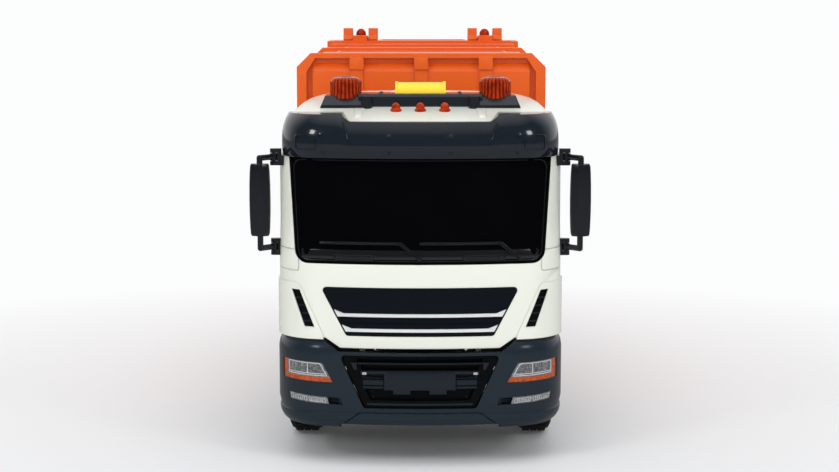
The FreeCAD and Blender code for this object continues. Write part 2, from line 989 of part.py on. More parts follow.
def track_rod():
    plate_low = axle_height - beam_height / 2 - seat_gap - knuckle_plate
    bottom = plate_low + knuckle_plate + seat_gap
    arm_station = front_axle_station + steer_arm_reach
    bar = block(
        -kingpin_half, kingpin_half, arm_station - track_rod_depth / 2,
        arm_station + track_rod_depth / 2, bottom, bottom + track_rod_height,
    )
    eyes = both(upright(
        kingpin_half, arm_station, bottom, bottom + track_rod_height, track_rod_depth,
    ))
    bores = both(upright(
        kingpin_half, arm_station, bottom - overrun, bottom + overrun,
        track_pin_radius + bore_gap,
    ))
    return joined([bar] + eyes).cut(bores)


def turned(points, station, radii=0):
    """Turns an outline of side distances and radii about an axle."""
    wire = outline([vec(x, station, axle_height + r) for x, r in points], radii)
    return Part.Face(wire).revolve(
        vec(0, station, axle_height), FreeCAD.Vector(1, 0, 0), math.degrees(math.tau),
    )


def rear_axles():
    """Axle tubes with a banjo housing in the middle and a thin stub at each end."""
    stub_end = rear_outer_half - disc_inset - disc_wall
    tube_end = rear_outer_half - twin_width * 2 - twin_gap - seat_gap
    half = [
        (differential_radius / 2, differential_radius), (differential_radius, axle_tube_radius * 1.6),
        (differential_radius * 1.4, axle_tube_radius), (tube_end, axle_tube_radius),
        (tube_end, stub_radius), (stub_end, stub_radius), (stub_end, 0),
    ]
    points = [(-x, r) for x, r in reversed(half)] + half
    return loose([turned(points, station) for station in (first_rear_station, second_rear_station)])


def ring(x0, x1, station, outer, inner):
    solid = cross_rod(x0, x1, station, axle_height, outer)
    return solid.cut(cross_rod(x0 - overrun, x1 + overrun, station, axle_height, inner))


def tyre(x0, x1, station):
    """Round shouldered tyre turned about its axle."""
    side = wheel_radius - tyre_shoulder
    points = [
        (x0, rim_radius), (x0, side), (x0 + tyre_shoulder, wheel_radius),
        (x1 - tyre_shoulder, wheel_radius), (x1, side), (x1, rim_radius),
    ]
    shoulders = [tyre_shoulder / 2] * 4
    return turned(points, station, [0] + shoulders + [0])


def rim(inner, outer, station, hub_start):
    disc_out = outer - disc_inset
    disc_in = disc_out - disc_wall
    drum = ring(inner, outer, station, rim_radius, rim_radius - rim_wall)
    disc = cross_rod(disc_in, disc_out, station, axle_height, rim_radius)
    hub = cross_rod(hub_start, outer - disc_inset / 2, station, axle_height, hub_radius)
    bore = cross_rod(
        inner - overrun, disc_in + seat_gap, station, axle_height, stub_radius + bore_gap,
    )
    wheel = joined([drum, disc, hub]).cut(bore)
    hole_circle = (hub_radius + rim_radius - rim_wall) / 2
    holes = []
    for index in range(hand_hole_count):
        angle = math.tau * index / hand_hole_count
        holes.append(cross_rod(
            disc_in - overrun / 2, disc_out + overrun / 2,
            station + hole_circle * math.cos(angle),
            axle_height + hole_circle * math.sin(angle), hand_hole_radius,
        ))
    return wheel.cut(holes)


def side_tanks():
    points = [
        (tank_inner_half, tank_bottom), (tank_outer_half, tank_bottom),
        (tank_outer_half, tank_top), (tank_inner_half, tank_top),
    ]
    fuel = front_prism(points, tank_front_station, tank_back_station, tank_corner)
    battery = front_prism(points, tank_front_station, battery_back_station, tank_corner / 3)
    straps = []
    for shape, back in ((fuel, tank_back_station), (battery, battery_back_station)):
        for station in (tank_front_station + tank_corner, back - tank_corner * 2):
            straps.append(block(
                rail_inner_half + rail_wall, tank_inner_half + tank_corner,
                station, station + tank_corner, rail_bottom, rail_top - rail_wall,
            ))
    return loose([
        mirrored(joined([fuel] + straps[:2])),
        joined([battery] + straps[2:]),
    ])


def side_guards():
    inner = guard_outer_half - guard_wall
    pieces = []
    for level in (guard_low, guard_high):
        pieces.append(block(
            inner, guard_outer_half, guard_front_station, guard_back_station,
            level, level + guard_bar_height,
        ))
    inset = (guard_back_station - guard_front_station) / 8
    for station in (guard_front_station + inset, guard_back_station - inset):
        pieces.append(block(
            inner - guard_wall, inner, station, station + guard_bar_height,
            guard_low, guard_high + guard_bar_height,
        ))
        pieces.append(block(
            rail_inner_half + rail_wall, inner, station, station + guard_bar_height,
            guard_high - guard_wall, guard_high + guard_wall,
        ))
    return pair(joined(pieces))


def front_mudguards():
    inner_radius = wheel_radius + mudguard_gap
    outer_half = front_outer_half + bore_gap
    inner_half = front_outer_half - tyre_width
    band = ring(
        inner_half, outer_half, front_axle_station, inner_radius + mudguard_wall, inner_radius,
    )
    keep = block(
        inner_half, outer_half, front_axle_station - wheel_radius * 2,
        front_axle_station + wheel_radius * 2, axle_height + wheel_radius / 2,
        axle_height + wheel_radius * 2,
    )
    pieces = [band.common(keep)]
    reach = inner_radius + mudguard_wall / 2
    level = rail_top - mudguard_stay * 1.5
    run = math.sqrt(reach ** 2 - (level - axle_height) ** 2)
    for station in (front_axle_station - run, front_axle_station + run):
        pieces.append(cross_rod(
            rail_inner_half + rail_wall, inner_half + mudguard_stay, station, level,
            mudguard_stay,
        ))
    return pair(joined(pieces))


def rear_mudguards():
    inner_radius = wheel_radius + rear_mudguard_gap
    outer_radius = inner_radius + mudguard_wall
    inner_half = rear_outer_half - twin_width * 2 - twin_gap - mudguard_stay * 3
    outer_half = rear_outer_half + mudguard_wall
    low = axle_height + wheel_radius / 4

    def hull(radius):
        ends = [
            cross_rod(inner_half, outer_half, station, axle_height, radius)
            for station in (first_rear_station, second_rear_station)
        ]
        middle = block(
            inner_half, outer_half, first_rear_station, second_rear_station,
            axle_height, axle_height + radius,
        )
        return joined(ends + [middle])

    cover = hull(outer_radius).cut(hull(inner_radius))
    cover = cover.common(block(
        inner_half, outer_half, first_rear_station - wheelbase / 2,
        second_rear_station + wheelbase / 2, low, axle_height + outer_radius + overrun,
    ))
    middle_station = (first_rear_station + second_rear_station) / 2
    post = block(
        inner_half, inner_half + mudguard_stay * 2, middle_station - mudguard_stay * 2,
        middle_station + mudguard_stay * 2, rail_top - mudguard_stay * 4,
        axle_height + inner_radius + mudguard_wall / 2,
    )
    foot = block(
        rail_inner_half + rail_wall, inner_half + mudguard_stay * 2,
        middle_station - mudguard_stay * 2, middle_station + mudguard_stay * 2,
        rail_top - mudguard_stay * 4, rail_top - mudguard_stay,
    )
    return pair(joined([cover, post, foot]))


# Cab

def cab_form(inset, bottom=deck_height, top=cab_header):
    def level(z):
        lean = max(0, (z - cab_waist) / (cab_header - cab_waist))
        return plan_wire(
            cab_half + (header_half - cab_half) * lean - inset,
            cab_front_station + (header_front_station - cab_front_station) * lean + inset,
            cab_back_station - inset, cab_corner - inset, cab_rear_corner - inset / 2, z,
            bow_radius - inset,
        )

    levels = [bottom, cab_waist, top] if bottom < cab_waist < top else [bottom, top]
    return stacked([level(z) for z in levels])


def roof_form(inset):
    """Roof shell: bowed plan, rising from the header and rounded at both shoulders."""
    plan = stacked([
        plan_wire(
            roof_half - inset, roof_front_station + inset,
            cab_back_station - roof_rear_inset - inset, cab_corner - inset,
            cab_rear_corner - inset / 2, z, bow_radius - inset,
        )
        for z in (cab_header - wall * 2, roof_top + overrun)
    ])
    rise = roof_top - roof_shoulder
    run = cab_back_station - roof_front_station
    climb_shares = (
        (0.00, 0.00), (0.14, 0.26), (0.26, 0.42), (0.38, 0.66), (0.62, 0.92), (1.00, 1.00),
    )
    crest = [
        (roof_front_station + run * along, roof_shoulder + rise * up - inset)
        for along, up in climb_shares
    ]
    nose = [(-overrun, cab_header - overrun), (-overrun, roof_shoulder - inset)]
    rear = cab_back_station + overrun
    side = side_prism(
        nose + crest + [(rear, roof_top - inset), (rear, cab_header - overrun)],
        -cab_half, cab_half,
    )
    arch_shares = (
        (1.00, -0.10), (0.985, 0.12), (0.95, 0.36), (0.89, 0.58), (0.80, 0.76), (0.66, 0.89),
        (0.42, 0.97), (0.00, 1.00),
    )
    right = [
        ((roof_half - inset) * across, roof_shoulder + rise * up - inset)
        for across, up in arch_shares
    ]
    left = [(-x, z) for x, z in reversed(right[:-1])]
    skirt = [
        (-roof_half - inset, cab_header - overrun),
        (roof_half + inset, cab_header - overrun),
    ]
    front = front_prism(skirt + right + left, -overrun, cab_back_station + overrun)
    return plan.common([side]).common([front])


def cab_solid(inset):
    lower = cab_form(inset, deck_height + inset, cab_header - inset)
    upper = roof_form(inset)
    return lower.fuse(upper)


def screen_points():
    return [
        (-screen_top_half, cab_header), (screen_top_half, cab_header),
        (screen_bottom_half, screen_bottom), (-screen_bottom_half, screen_bottom),
    ]


def vent_points():
    return [
        (vent_outer_top_half, vent_top), (vent_inner_top_half, vent_top),
        (vent_inner_bottom_half, vent_bottom), (vent_outer_bottom_half, vent_bottom),
    ]


def side_form(points, radius, inset_out, inset_in):
    """A panel that follows the cab's right side, between two depths."""
    slab = cab_form(inset_out).cut(cab_form(inset_in))
    return slab.common(side_prism(points, cab_half / 2, cab_half + overrun, radius))


def door_points(gap):
    return [
        (door_hinge_station, door_bottom + gap), (door_hinge_station, door_top - gap),
        (door_back_station - gap, door_top - gap), (door_back_station - gap, door_bottom + gap),
    ]


def door_axis_half():
    return cab_half - wall / 2


def door_glass_points():
    slope = (door_glass_back_station - door_glass_front_station) / 8
    return [
        (door_glass_front_station, door_glass_bottom + slope),
        (door_glass_front_station, door_glass_top),
        (door_glass_back_station, door_glass_top),
        (door_glass_back_station, door_glass_bottom),
        (door_glass_front_station + slope * 3, door_glass_bottom),
    ]


def door():
    corner = [0, 0, door_corner, door_corner]
    panel = side_form(door_points(panel_gap), corner, 0, wall)
    edge = upright(
        door_axis_half(), door_hinge_station, door_bottom + panel_gap, door_top - panel_gap,
        door_edge_radius,
    )
    pins = [
        upright(
            door_axis_half(), door_hinge_station, level - door_pin_length,
            level + door_pin_length, door_pin_radius,
        )
        for level in (door_bottom + panel_gap, door_top - panel_gap)
    ]
    window = side_prism(
        door_glass_points(), cab_half / 2, cab_half + overrun, door_corner / 2,
    )
    return joined([panel, edge] + pins).cut(window)


def door_glass():
    return side_form(door_glass_points(), door_corner / 2, glass_inset, glass_inset + glass_wall)


def mirror_bracket(level, top):
    """Two lugs round the arm's eye on a short plate that stands on the pillar."""
    lugs = []
    for direction in (-1, 1):
        start = level + direction * (mirror_eye_height / 2 + seat_gap)
        end = start + direction * mirror_lug_wall
        low, high = min(start, end), max(start, end)
        lugs.append(upright(mirror_pivot_half, mirror_pivot_station, low, high, mirror_eye_radius))
        lugs.append(block(
            visor_half + seat_gap, mirror_pivot_half,
            mirror_pivot_station - mirror_eye_radius, mirror_pivot_station + mirror_eye_radius,
            low, high,
        ))
    reach = mirror_eye_height / 2 + seat_gap + mirror_lug_wall
    lugs.append(block(
        visor_half + seat_gap, mirror_pivot_half - mirror_eye_radius - bore_gap,
        mirror_pivot_station - mirror_eye_radius, mirror_pivot_station + mirror_eye_radius,
        level - reach, level + reach,
    ))
    lugs.append(block(
        cab_half - wall, mirror_pivot_half - mirror_eye_radius - bore_gap,
        mirror_pivot_station - mirror_eye_radius, mirror_pivot_station + mirror_eye_radius,
        level - reach, min(top, level + reach),
    ))
    bore = upright(
        mirror_pivot_half, mirror_pivot_station, level - overrun, level + overrun,
        mirror_pin_radius + bore_gap,
    )
    return joined(lugs).cut(bore)


def mirror_brackets():
    upper = mirror_bracket(mirror_upper_level, visor_bottom - seat_gap)
    lower = mirror_bracket(mirror_lower_level, cab_header)
    return loose([pair(shape.cut(cab_form(0))) for shape in (upper, lower)])


def deflector():
    points = [
        (cab_half + overrun, deflector_top), (deflector_inner_top_half, deflector_top),
        (deflector_inner_bottom_half, deck_height + wall / 2),
        (deflector_inner_bottom_half, deck_height - deflector_drop),
        (cab_half + overrun, deck_height - deflector_drop),
    ]
    panel = front_prism(points, -overrun, door_hinge_station - wall, [0, wall, 0, 0, 0])
    low = deck_height - deflector_drop
    skin = cab_form(-deflector_rise, low).cut(cab_form(0))
    return skin.common(panel).cut(cab_form(wall, low - overrun))


def cab_shell():
    shell = cab_solid(0).cut(cab_solid(wall))
    lip_points = [
        (-lip_outer_half, deck_height), (-lip_inner_half, lip_height),
        (lip_inner_half, lip_height), (lip_outer_half, deck_height),
        (lip_outer_half, deck_height + wall), (-lip_outer_half, deck_height + wall),
    ]
    lip = cab_form(0, lip_height, cab_waist).cut(cab_form(wall, lip_height - overrun, cab_waist))
    lip = lip.common(front_prism(lip_points, -overrun, cab_corner))
    arm = side_prism(
        [
            (tilt_station, tilt_height - tilt_arm_width / 2),
            (tilt_arm_back_station + tilt_arm_width, tilt_height - tilt_arm_width / 2),
            (tilt_arm_back_station + tilt_arm_width, deck_height + wall / 2),
            (tilt_arm_back_station, deck_height + wall / 2),
            (tilt_arm_back_station, tilt_height + tilt_arm_width / 2),
            (tilt_station, tilt_height + tilt_arm_width / 2),
        ],
        tilt_arm_half, tilt_arm_half + tilt_arm_wall,
    )
    arm_eye = cross_rod(
        tilt_arm_half, tilt_arm_half + tilt_arm_wall, tilt_station, tilt_height, tilt_eye_radius,
    )
    arm_bore = cross_rod(
        tilt_arm_half - overrun, tilt_arm_half + overrun, tilt_station, tilt_height,
        tilt_pin_radius + bore_gap,
    )
    arms = both(joined([arm, arm_eye]).cut(arm_bore))
    cuts = [front_prism(
        screen_points(), -overrun, cab_corner + wall, [0, 0, screen_corner, screen_corner],
    )]
    cuts += both(side_prism(
        [
            (door_hinge_station, door_bottom), (door_hinge_station, door_top),
            (door_back_station, door_top), (door_back_station, door_bottom),
        ],
        cab_half / 2, cab_half + overrun, [0, 0, door_corner, door_corner],
    ))
    cuts += both(upright(
        door_axis_half(), door_hinge_station, door_bottom, door_top, door_edge_radius + panel_gap,
    ))
    cuts += both(upright(
        door_axis_half(), door_hinge_station, door_bottom - door_pin_length - seat_gap,
        door_top + door_pin_length + seat_gap, door_pin_radius + bore_gap,
    ))
    cuts.append(front_prism(
        trapezium(grille_top_half, grille_top, grille_bottom_half, grille_bottom),
        -overrun, cab_corner, grille_corner,
    ).cut(cab_solid(wall - grille_sink)))
    cuts += both(front_prism(vent_points(), -overrun, cab_corner).cut(cab_solid(wall - grille_sink)))
    seam = seam_band(
        [
            (pillar_seam_half, pillar_seam_height), (cab_half + overrun, pillar_seam_height),
            (cab_half + overrun, screen_bottom + screen_corner),
            (pillar_seam_half, screen_bottom + screen_corner),
        ],
        [screen_corner / 4, 0, 0, 0],
    )
    cuts += both(seam.cut(cab_form(seam_depth)))
    whole = joined([shell, lip] + both(deflector()) + arms)
    return whole.cut(cuts)


def cab_skin(points, inset_out, inset_in, radius=0):
    skin = cab_form(inset_out).cut(cab_form(inset_in))
    return skin.common(front_prism(points, -overrun, cab_corner, radius))


def windscreen():
    points = screen_points()
    skin = cab_form(glass_inset).cut(cab_form(glass_inset + glass_wall))
    corners = [0, 0, screen_corner, screen_corner]
    return skin.common(front_prism(points, -overrun, cab_corner + wall, corners))


def front_grille():
    points = trapezium(grille_top_half, grille_top, grille_bottom_half, grille_bottom)
    return cab_skin(points, grille_sink, wall - grille_sink, grille_corner)


def grille_chrome():
    strips = []
    lean = (grille_top_half - grille_bottom_half) / (grille_top - grille_bottom)
    for level in (chrome_upper, chrome_lower):
        low = level - chrome_height / 2
        high = level + chrome_height / 2
        low_half = grille_bottom_half + (low - grille_bottom) * lean - grille_corner / 2
        high_half = grille_bottom_half + (high - grille_bottom) * lean - grille_corner / 2
        tip = high + chrome_wedge / 2
        tip_half = grille_bottom_half + (tip - grille_bottom) * lean - grille_corner / 2
        points = [
            (-low_half, low), (low_half, low), (tip_half, tip),
            (high_half - chrome_wedge, high), (chrome_wedge - high_half, high), (-tip_half, tip),
        ]
        strips.append(cab_skin(points, -chrome_proud, grille_sink))
    return loose(strips)


def corner_vents():
    return pair(cab_skin(vent_points(), grille_sink, wall - grille_sink))


def wiper(middle):
    left, right = middle - wiper_blade_half, middle + wiper_blade_half
    half = wiper_height / 2
    pivot = right + wiper_arm_run
    blade = [
        (left, wiper_level + half), (left, wiper_level - half), (right, wiper_level - half),
        (pivot - half, wiper_pivot_level), (pivot + half * 2, wiper_pivot_level),
        (right + half * 2, wiper_level + half),
    ]
    skin = cab_form(-wiper_proud).cut(cab_form(glass_inset))
    return skin.common(front_prism(blade, -overrun, cab_corner))


def wipers():
    return loose([wiper(left_wiper_middle), wiper(right_wiper_middle)])


def visor():
    rise = visor_top - visor_bottom
    back = visor_upper_station - visor_front_station
    levels = []
    for up, lean, sink in visor_profile_shares:
        levels.append(plan_wire(
            visor_half - back * visor_trim_share * lean * up, visor_front_station + back * lean,
            cab_back_station, cab_corner, cab_rear_corner, visor_bottom + rise * up,
            dent=visor_step * sink,
        ))
    keep = block(
        -cab_half, cab_half, -overrun, visor_back_station, visor_bottom, visor_top,
    )
    saddle = front_prism(
        [
            (-visor_bump_outer_half, visor_top + overrun), (-visor_bump_outer_half, visor_top),
            (-visor_bump_inner_half, visor_centre_top), (visor_bump_inner_half, visor_centre_top),
            (visor_bump_outer_half, visor_top), (visor_bump_outer_half, visor_top + overrun),
        ],
        -overrun, cab_back_station, [0, 0, visor_bump_round, visor_bump_round, 0, 0],
    )
    cowl = stacked(levels).common(keep).cut([saddle, roof_form(0), cab_solid(0)])
    solids = sorted(cowl.Solids, key=lambda solid: solid.Volume)
    return solids[-1].removeSplitter()


def spun(points, x, station):
    """Turns an outline of radii and heights about an upright axis."""
    wire = outline([vec(x + radius, station, z) for radius, z in points])
    return Part.Face(wire).revolve(
        vec(x, station, 0), FreeCAD.Vector(0, 0, 1), math.degrees(math.tau),
    )


def light_bar():
    """Low bar over the roof: a flat middle, two chamfered pods and a rounded foot by each."""
    slope = (bar_top - roof_shoulder) / 4
    middle = side_prism(
        [
            (bar_front_station + slope, roof_shoulder), (bar_front_station + slope, bar_top - slope / 2),
            (bar_front_station + slope * 3 / 2, bar_top),
            (bar_back_station - slope, bar_top), (bar_back_station, bar_top - slope),
            (bar_back_station, roof_shoulder),
        ],
        -bar_pod_inner_half - slope, bar_pod_inner_half + slope,
    )
    pod = side_prism(
        [
            (bar_front_station, roof_shoulder - bar_rise),
            (bar_front_station, bar_pod_top - slope * 3 / 2),
            (bar_front_station + slope * 2, bar_pod_top),
            (bar_back_station - slope, bar_pod_top), (bar_back_station, bar_pod_top - slope),
            (bar_back_station, roof_shoulder - bar_rise),
        ],
        bar_pod_inner_half, bar_half,
    )
    pod = pod.common(front_prism(
        [
            (bar_pod_inner_half, roof_shoulder - bar_rise), (bar_half, roof_shoulder - bar_rise),
            (bar_half, roof_shoulder + slope), (bar_half - slope, bar_pod_top),
            (bar_pod_inner_half, bar_pod_top),
        ],
        -overrun, cab_back_station,
    ))
    foot = upright(
        bar_foot_half, bar_front_station + bar_foot_radius / 2, roof_shoulder, bar_pod_top,
        bar_foot_radius,
    )
    body = joined([middle] + both(pod) + both(foot)).cut(roof_form(0))
    solids = sorted(body.Solids, key=lambda solid: solid.Volume)
    return solids[-1]


def beacon():
    """Ribbed drum with a rounded cap, its rim reaching down over the pod's chamfer."""
    flat = beacon_radius - beacon_rib_radius * 1.5
    shoulder = beacon_top - beacon_dome
    drum = spun(
        [
            (0, bar_pod_top - beacon_foot), (beacon_radius, bar_pod_top - beacon_foot),
            (beacon_radius, bar_pod_top + beacon_foot / 2), (flat, bar_pod_top + beacon_foot / 2),
            (flat, shoulder), (flat * 0.93, beacon_top - beacon_dome * 0.5),
            (flat * 0.78, beacon_top - beacon_dome * 0.18), (flat * 0.5, beacon_top), (0, beacon_top),
        ],
        beacon_half, beacon_station,
    )
    ribs = []
    for index in range(beacon_rib_count):
        angle = math.tau * (index + 1 / 2) / beacon_rib_count
        ribs.append(upright(
            beacon_half + flat * math.cos(angle), beacon_station + flat * math.sin(angle),
            bar_pod_top, shoulder, beacon_rib_radius,
        ))
    return joined([drum] + ribs)


def roof_lamps():
    lamps = both(beacon().cut(light_bar()))
    dome = marker_top - marker_radius
    for x in (-marker_half, 0, marker_half):
        lamp = spun(
            [
                (0, roof_shoulder), (marker_radius + marker_collar, roof_shoulder),
                (marker_radius + marker_collar, dome - marker_collar * 2),
                (marker_radius, dome - marker_collar), (marker_radius, dome),
                (marker_radius * 0.87, dome + marker_radius * 0.5),
                (marker_radius * 0.5, dome + marker_radius * 0.87), (0, marker_top),
            ],
            x, marker_station,
        )
        lamps.append(lamp.cut(roof_form(0)).Solids[0])
    return loose(lamps)


def push_button():
    end = button_half - button_radius / 4
    pieces = [cross_rod(-end, end, button_station, bar_top, button_radius)]
    for x in (-end, end):
        pieces.append(cross_rod(
            min(x, x * button_half / end), max(x, x * button_half / end), button_station, bar_top,
            button_radius + button_flange,
        ))
    reach = button_radius + button_flange
    return joined(pieces).common(block(
        -button_half, button_half, button_station - reach, button_station + reach,
        bar_top, bar_top + reach,
    ))


def dashboard():
    top = block(
        -cab_half, cab_half, -overrun, dash_back_station, dash_bottom, dash_top,
    ).common(cab_form(wall, deck_height + wall, cab_header))
    rim_centre = vec(-steering_wheel_half, steering_wheel_station, steering_wheel_level)
    foot = vec(-steering_wheel_half, dash_back_station - wall, dash_top - wall)
    axis = rim_centre - foot
    wheel = Part.makeTorus(steering_wheel_radius, steering_wheel_tube, rim_centre, axis)
    half_hub = axis * (steering_wheel_tube / axis.Length)
    hub = rod(rim_centre - half_hub, rim_centre + half_hub, steering_wheel_radius / 3)
    spoke = Part.makeBox(
        steering_wheel_radius * 2, steering_wheel_tube, steering_wheel_tube * 2,
        rim_centre - FreeCAD.Vector(steering_wheel_radius, steering_wheel_tube / 2, steering_wheel_tube),
    )
    column = rod(foot, rim_centre, steering_wheel_tube * 1.4)
    return joined([top, wheel, hub, spoke, column])


def seats():
    floor = deck_height + wall
    base = block(
        seat_inner_half, seat_outer_half, seat_front_station, seat_back_station, floor,
        seat_base_top,
    )
    back = side_prism(
        [
            (seat_back_station - seat_back_wall, seat_base_top),
            (seat_back_station - seat_back_wall + seat_corner, seat_back_top),
            (seat_back_station, seat_back_top), (seat_back_station, seat_base_top),
        ],
        seat_inner_half, seat_outer_half,
    )
    return pair(joined([base, back]))


def mirror_housing():
    """Tall housing, slightly barrelled, with a blunt ridge down its front."""
    width = mirror_half - mirror_inner_half
    depth = mirror_back_station - mirror_front_station
    rise = mirror_top - mirror_bottom
    lower = [(up, draw) for up, draw in mirror_bulge_shares]
    upper = [(1 - up, draw) for up, draw in reversed(mirror_bulge_shares[:-1])]
    wires = []
    for up, draw in lower + upper:
        inset = mirror_draw * draw
        wires.append(outline(
            [
                vec(
                    mirror_inner_half + inset + (width - inset * 2) * across,
                    mirror_front_station + inset + (depth - inset * 2) * along,
                    mirror_bottom + rise * up,
                )
                for across, along in mirror_plan_shares
            ],
            mirror_corner,
        ))
    return stacked(wires)


def mirror():
    """Right mirror: housing, two bent arms and the pins on its fold axis."""
    middle_x = (mirror_inner_half + mirror_half) / 2
    middle_s = (mirror_front_station + mirror_back_station) / 2
    housing = mirror_housing()
    pieces = [housing]
    bends = (
        (mirror_upper_level, mirror_top - mirror_corner * 2),
        (mirror_lower_level, mirror_bottom + mirror_corner * 2),
    )
    for level, entry in bends:
        root = vec(mirror_pivot_half, mirror_pivot_station, level)
        bend = vec(middle_x, middle_s, level)
        pieces.append(rod(root, bend, mirror_arm_radius))
        pieces.append(Part.makeSphere(mirror_arm_radius, bend))
        pieces.append(rod(bend, vec(middle_x, middle_s, entry), mirror_arm_radius))
        pieces.append(upright(
            mirror_pivot_half, mirror_pivot_station, level - mirror_eye_height / 2,
            level + mirror_eye_height / 2, mirror_eye_radius,
        ))
        reach = mirror_eye_height / 2 + seat_gap + mirror_lug_wall
        pieces.append(upright(
            mirror_pivot_half, mirror_pivot_station, level - reach, level + reach,
            mirror_pin_radius,
        ))
    return joined(pieces)


# Refuse body

def body_section(s0, s1, outset, top=body_skin_top):
    half = body_skin_half + outset
    chamfer = body_chamfer
    points = [
        (-half, deck_height), (half, deck_height), (half, top + outset - chamfer),
        (half - chamfer, top + outset), (chamfer - half, top + outset), (-half, top + outset - chamfer),
    ]
    return front_prism(points, s0, s1)


def body_inside(s0, s1):
    half = body_skin_half - body_wall
    top = body_skin_top - body_wall
    chamfer = body_chamfer
    points = [
        (-half, deck_height + body_floor_wall), (half, deck_height + body_floor_wall),
        (half, top - chamfer), (half - chamfer, top), (chamfer - half, top), (-half, top - chamfer),
    ]
    return front_prism(points, s0, s1)


def body_shell():
    rise = body_half - body_skin_half
    shell = body_section(bulkhead_station, body_back_station, 0)
    shell = shell.cut(body_inside(bulkhead_station + body_wall, body_back_station + overrun))
    rim = body_section(body_front_station, body_front_station + rim_depth, rise)
    hole = [
        (rim_height - body_half, deck_height + rim_height),
        (body_half - rim_height, deck_height + rim_height),
        (body_half - rim_height, body_top - body_chamfer - rim_height / 2),
        (body_half - rim_height / 2 - body_chamfer, body_top - rim_height / 2),
        (body_chamfer + rim_height / 2 - body_half, body_top - rim_height / 2),
        (rim_height - body_half, body_top - body_chamfer - rim_height / 2),
    ]
    rim = rim.cut(front_prism(hole, -overrun, body_back_station))
    panel_half = body_half - rim_height * 1.6
    panel_top = body_top - rim_height
    panel = side_prism(
        [
            (bulkhead_station, deck_height + rim_height * 1.6),
            (bulkhead_station - panel_proud, deck_height + rim_height * 2),
            (bulkhead_station - panel_proud, panel_top - panel_slope),
            (bulkhead_station, panel_top),
        ],
        -panel_half, panel_half,
    )
    pieces = [shell, rim, panel]
    for middle in (-rib_half_spacing, 0, rib_half_spacing):
        pieces.append(block(
            middle - rib_width / 2, middle + rib_width / 2,
            bulkhead_station - panel_proud - rib_proud, bulkhead_station,
            deck_height + rim_height, body_top - rim_height / 3,
        ))
    run = body_back_station - body_front_station
    for share in (hoop_share_front, hoop_share_back):
        start = body_front_station + run * share - hoop_width / 2
        hoop = body_section(start, start + hoop_width, rise)
        pieces.append(hoop.cut(body_section(start - overrun, start + overrun * 2, 0)))
    frame_start = body_back_station - rear_frame_width
    frame = body_section(frame_start, body_back_station, rise, rear_frame_top - rise)
    pieces.append(frame.cut(body_section(frame_start - overrun, body_back_station + overrun, 0)))
    pieces += both(block(
        rail_inner_half, rail_inner_half + rail_wall, subframe_front_station,
        subframe_back_station, rail_top, deck_height,
    ))
    lug = block(
        hinge_lug_inner_half, hinge_lug_outer_half, body_back_station - rear_frame_width,
        body_back_station, min(rear_frame_top - body_wall * 2, hinge_height - hinge_lug_radius),
        max(rear_frame_top, hinge_height + hinge_lug_radius),
    )
    tongue = block(
        hinge_lug_inner_half, hinge_lug_outer_half, body_back_station, hinge_station,
        hinge_height - hinge_lug_radius, hinge_height + hinge_lug_radius,
    )
    lug_end = cross_rod(
        hinge_lug_inner_half, hinge_lug_outer_half, hinge_station, hinge_height, hinge_lug_radius,
    )
    pin = cross_rod(
        hinge_lug_inner_half - ear_gap - ear_wall, hinge_lug_outer_half + ear_gap + ear_wall,
        hinge_station, hinge_height, hinge_pin_radius,
    )
    pieces += both(joined([lug, tongue, lug_end, pin]))
    return joined(pieces)


def push_plate():
    half = body_skin_half - body_wall - plate_clearance
    floor = deck_height + body_floor_wall + plate_clearance
    top = body_skin_top - body_wall - plate_clearance
    points = [
        (-half, floor), (half, floor), (half, top - body_chamfer), (half - body_chamfer, top),
        (body_chamfer - half, top), (-half, top - body_chamfer),
    ]
    face = front_prism(
        points, plate_front_station + plate_depth - plate_wall, plate_front_station + plate_depth,
    )
    ribs = []
    for share in (-0.8, -0.3, 0.3, 0.8):
        middle = half * share
        ribs.append(block(
            middle - plate_wall / 2, middle + plate_wall / 2, plate_front_station,
            plate_front_station + plate_depth - plate_wall, floor, top - body_chamfer,
        ))
    foot = block(
        -half, half, plate_front_station, plate_front_station + plate_depth, floor,
        floor + plate_wall,
    )
    return joined([face, foot] + ribs)


# Tailgate

def tail_points():
    run = tail_back_station - tail_front_station
    rise = tail_top - tail_bottom
    return [
        (tail_front_station + run * along, tail_bottom + rise * up)
        for along, up in tail_outline_shares
    ]


def tail_hull(inset):
    points = tail_points()
    corners = [0, 0] + [tail_corner] * 3 + [tail_corner / 3, tail_corner] + [tail_corner * 2] * 2
    wire = outline([vec(inset - tail_half, station, z) for station, z in points], corners)
    face = Part.Face(wire)
    if inset:
        face = face.makeOffset2D(-inset)
    return face.extrude(FreeCAD.Vector((tail_half - inset) * 2, 0, 0))


def ear(x0):
    back = hinge_station + ear_length
    points = [
        (hinge_station - hinge_pin_radius * 2.4, hinge_height),
        (hinge_station - hinge_pin_radius, hinge_height + hinge_lug_radius),
        (hinge_station - hinge_pin_radius / 2, ear_top),
        (hinge_station + ear_length * 0.7, ear_top),
        (back, (ear_top + ear_root) / 2),
        (back, ear_root),
        (hinge_station - hinge_pin_radius * 2.4 + hinge_pin_radius, ear_root),
    ]
    plate = side_prism(points, x0, x0 + ear_wall)
    bore = cross_rod(
        x0 - overrun, x0 + ear_wall + overrun, hinge_station, hinge_height,
        hinge_pin_radius + bore_gap,
    )
    return plate.cut(bore)


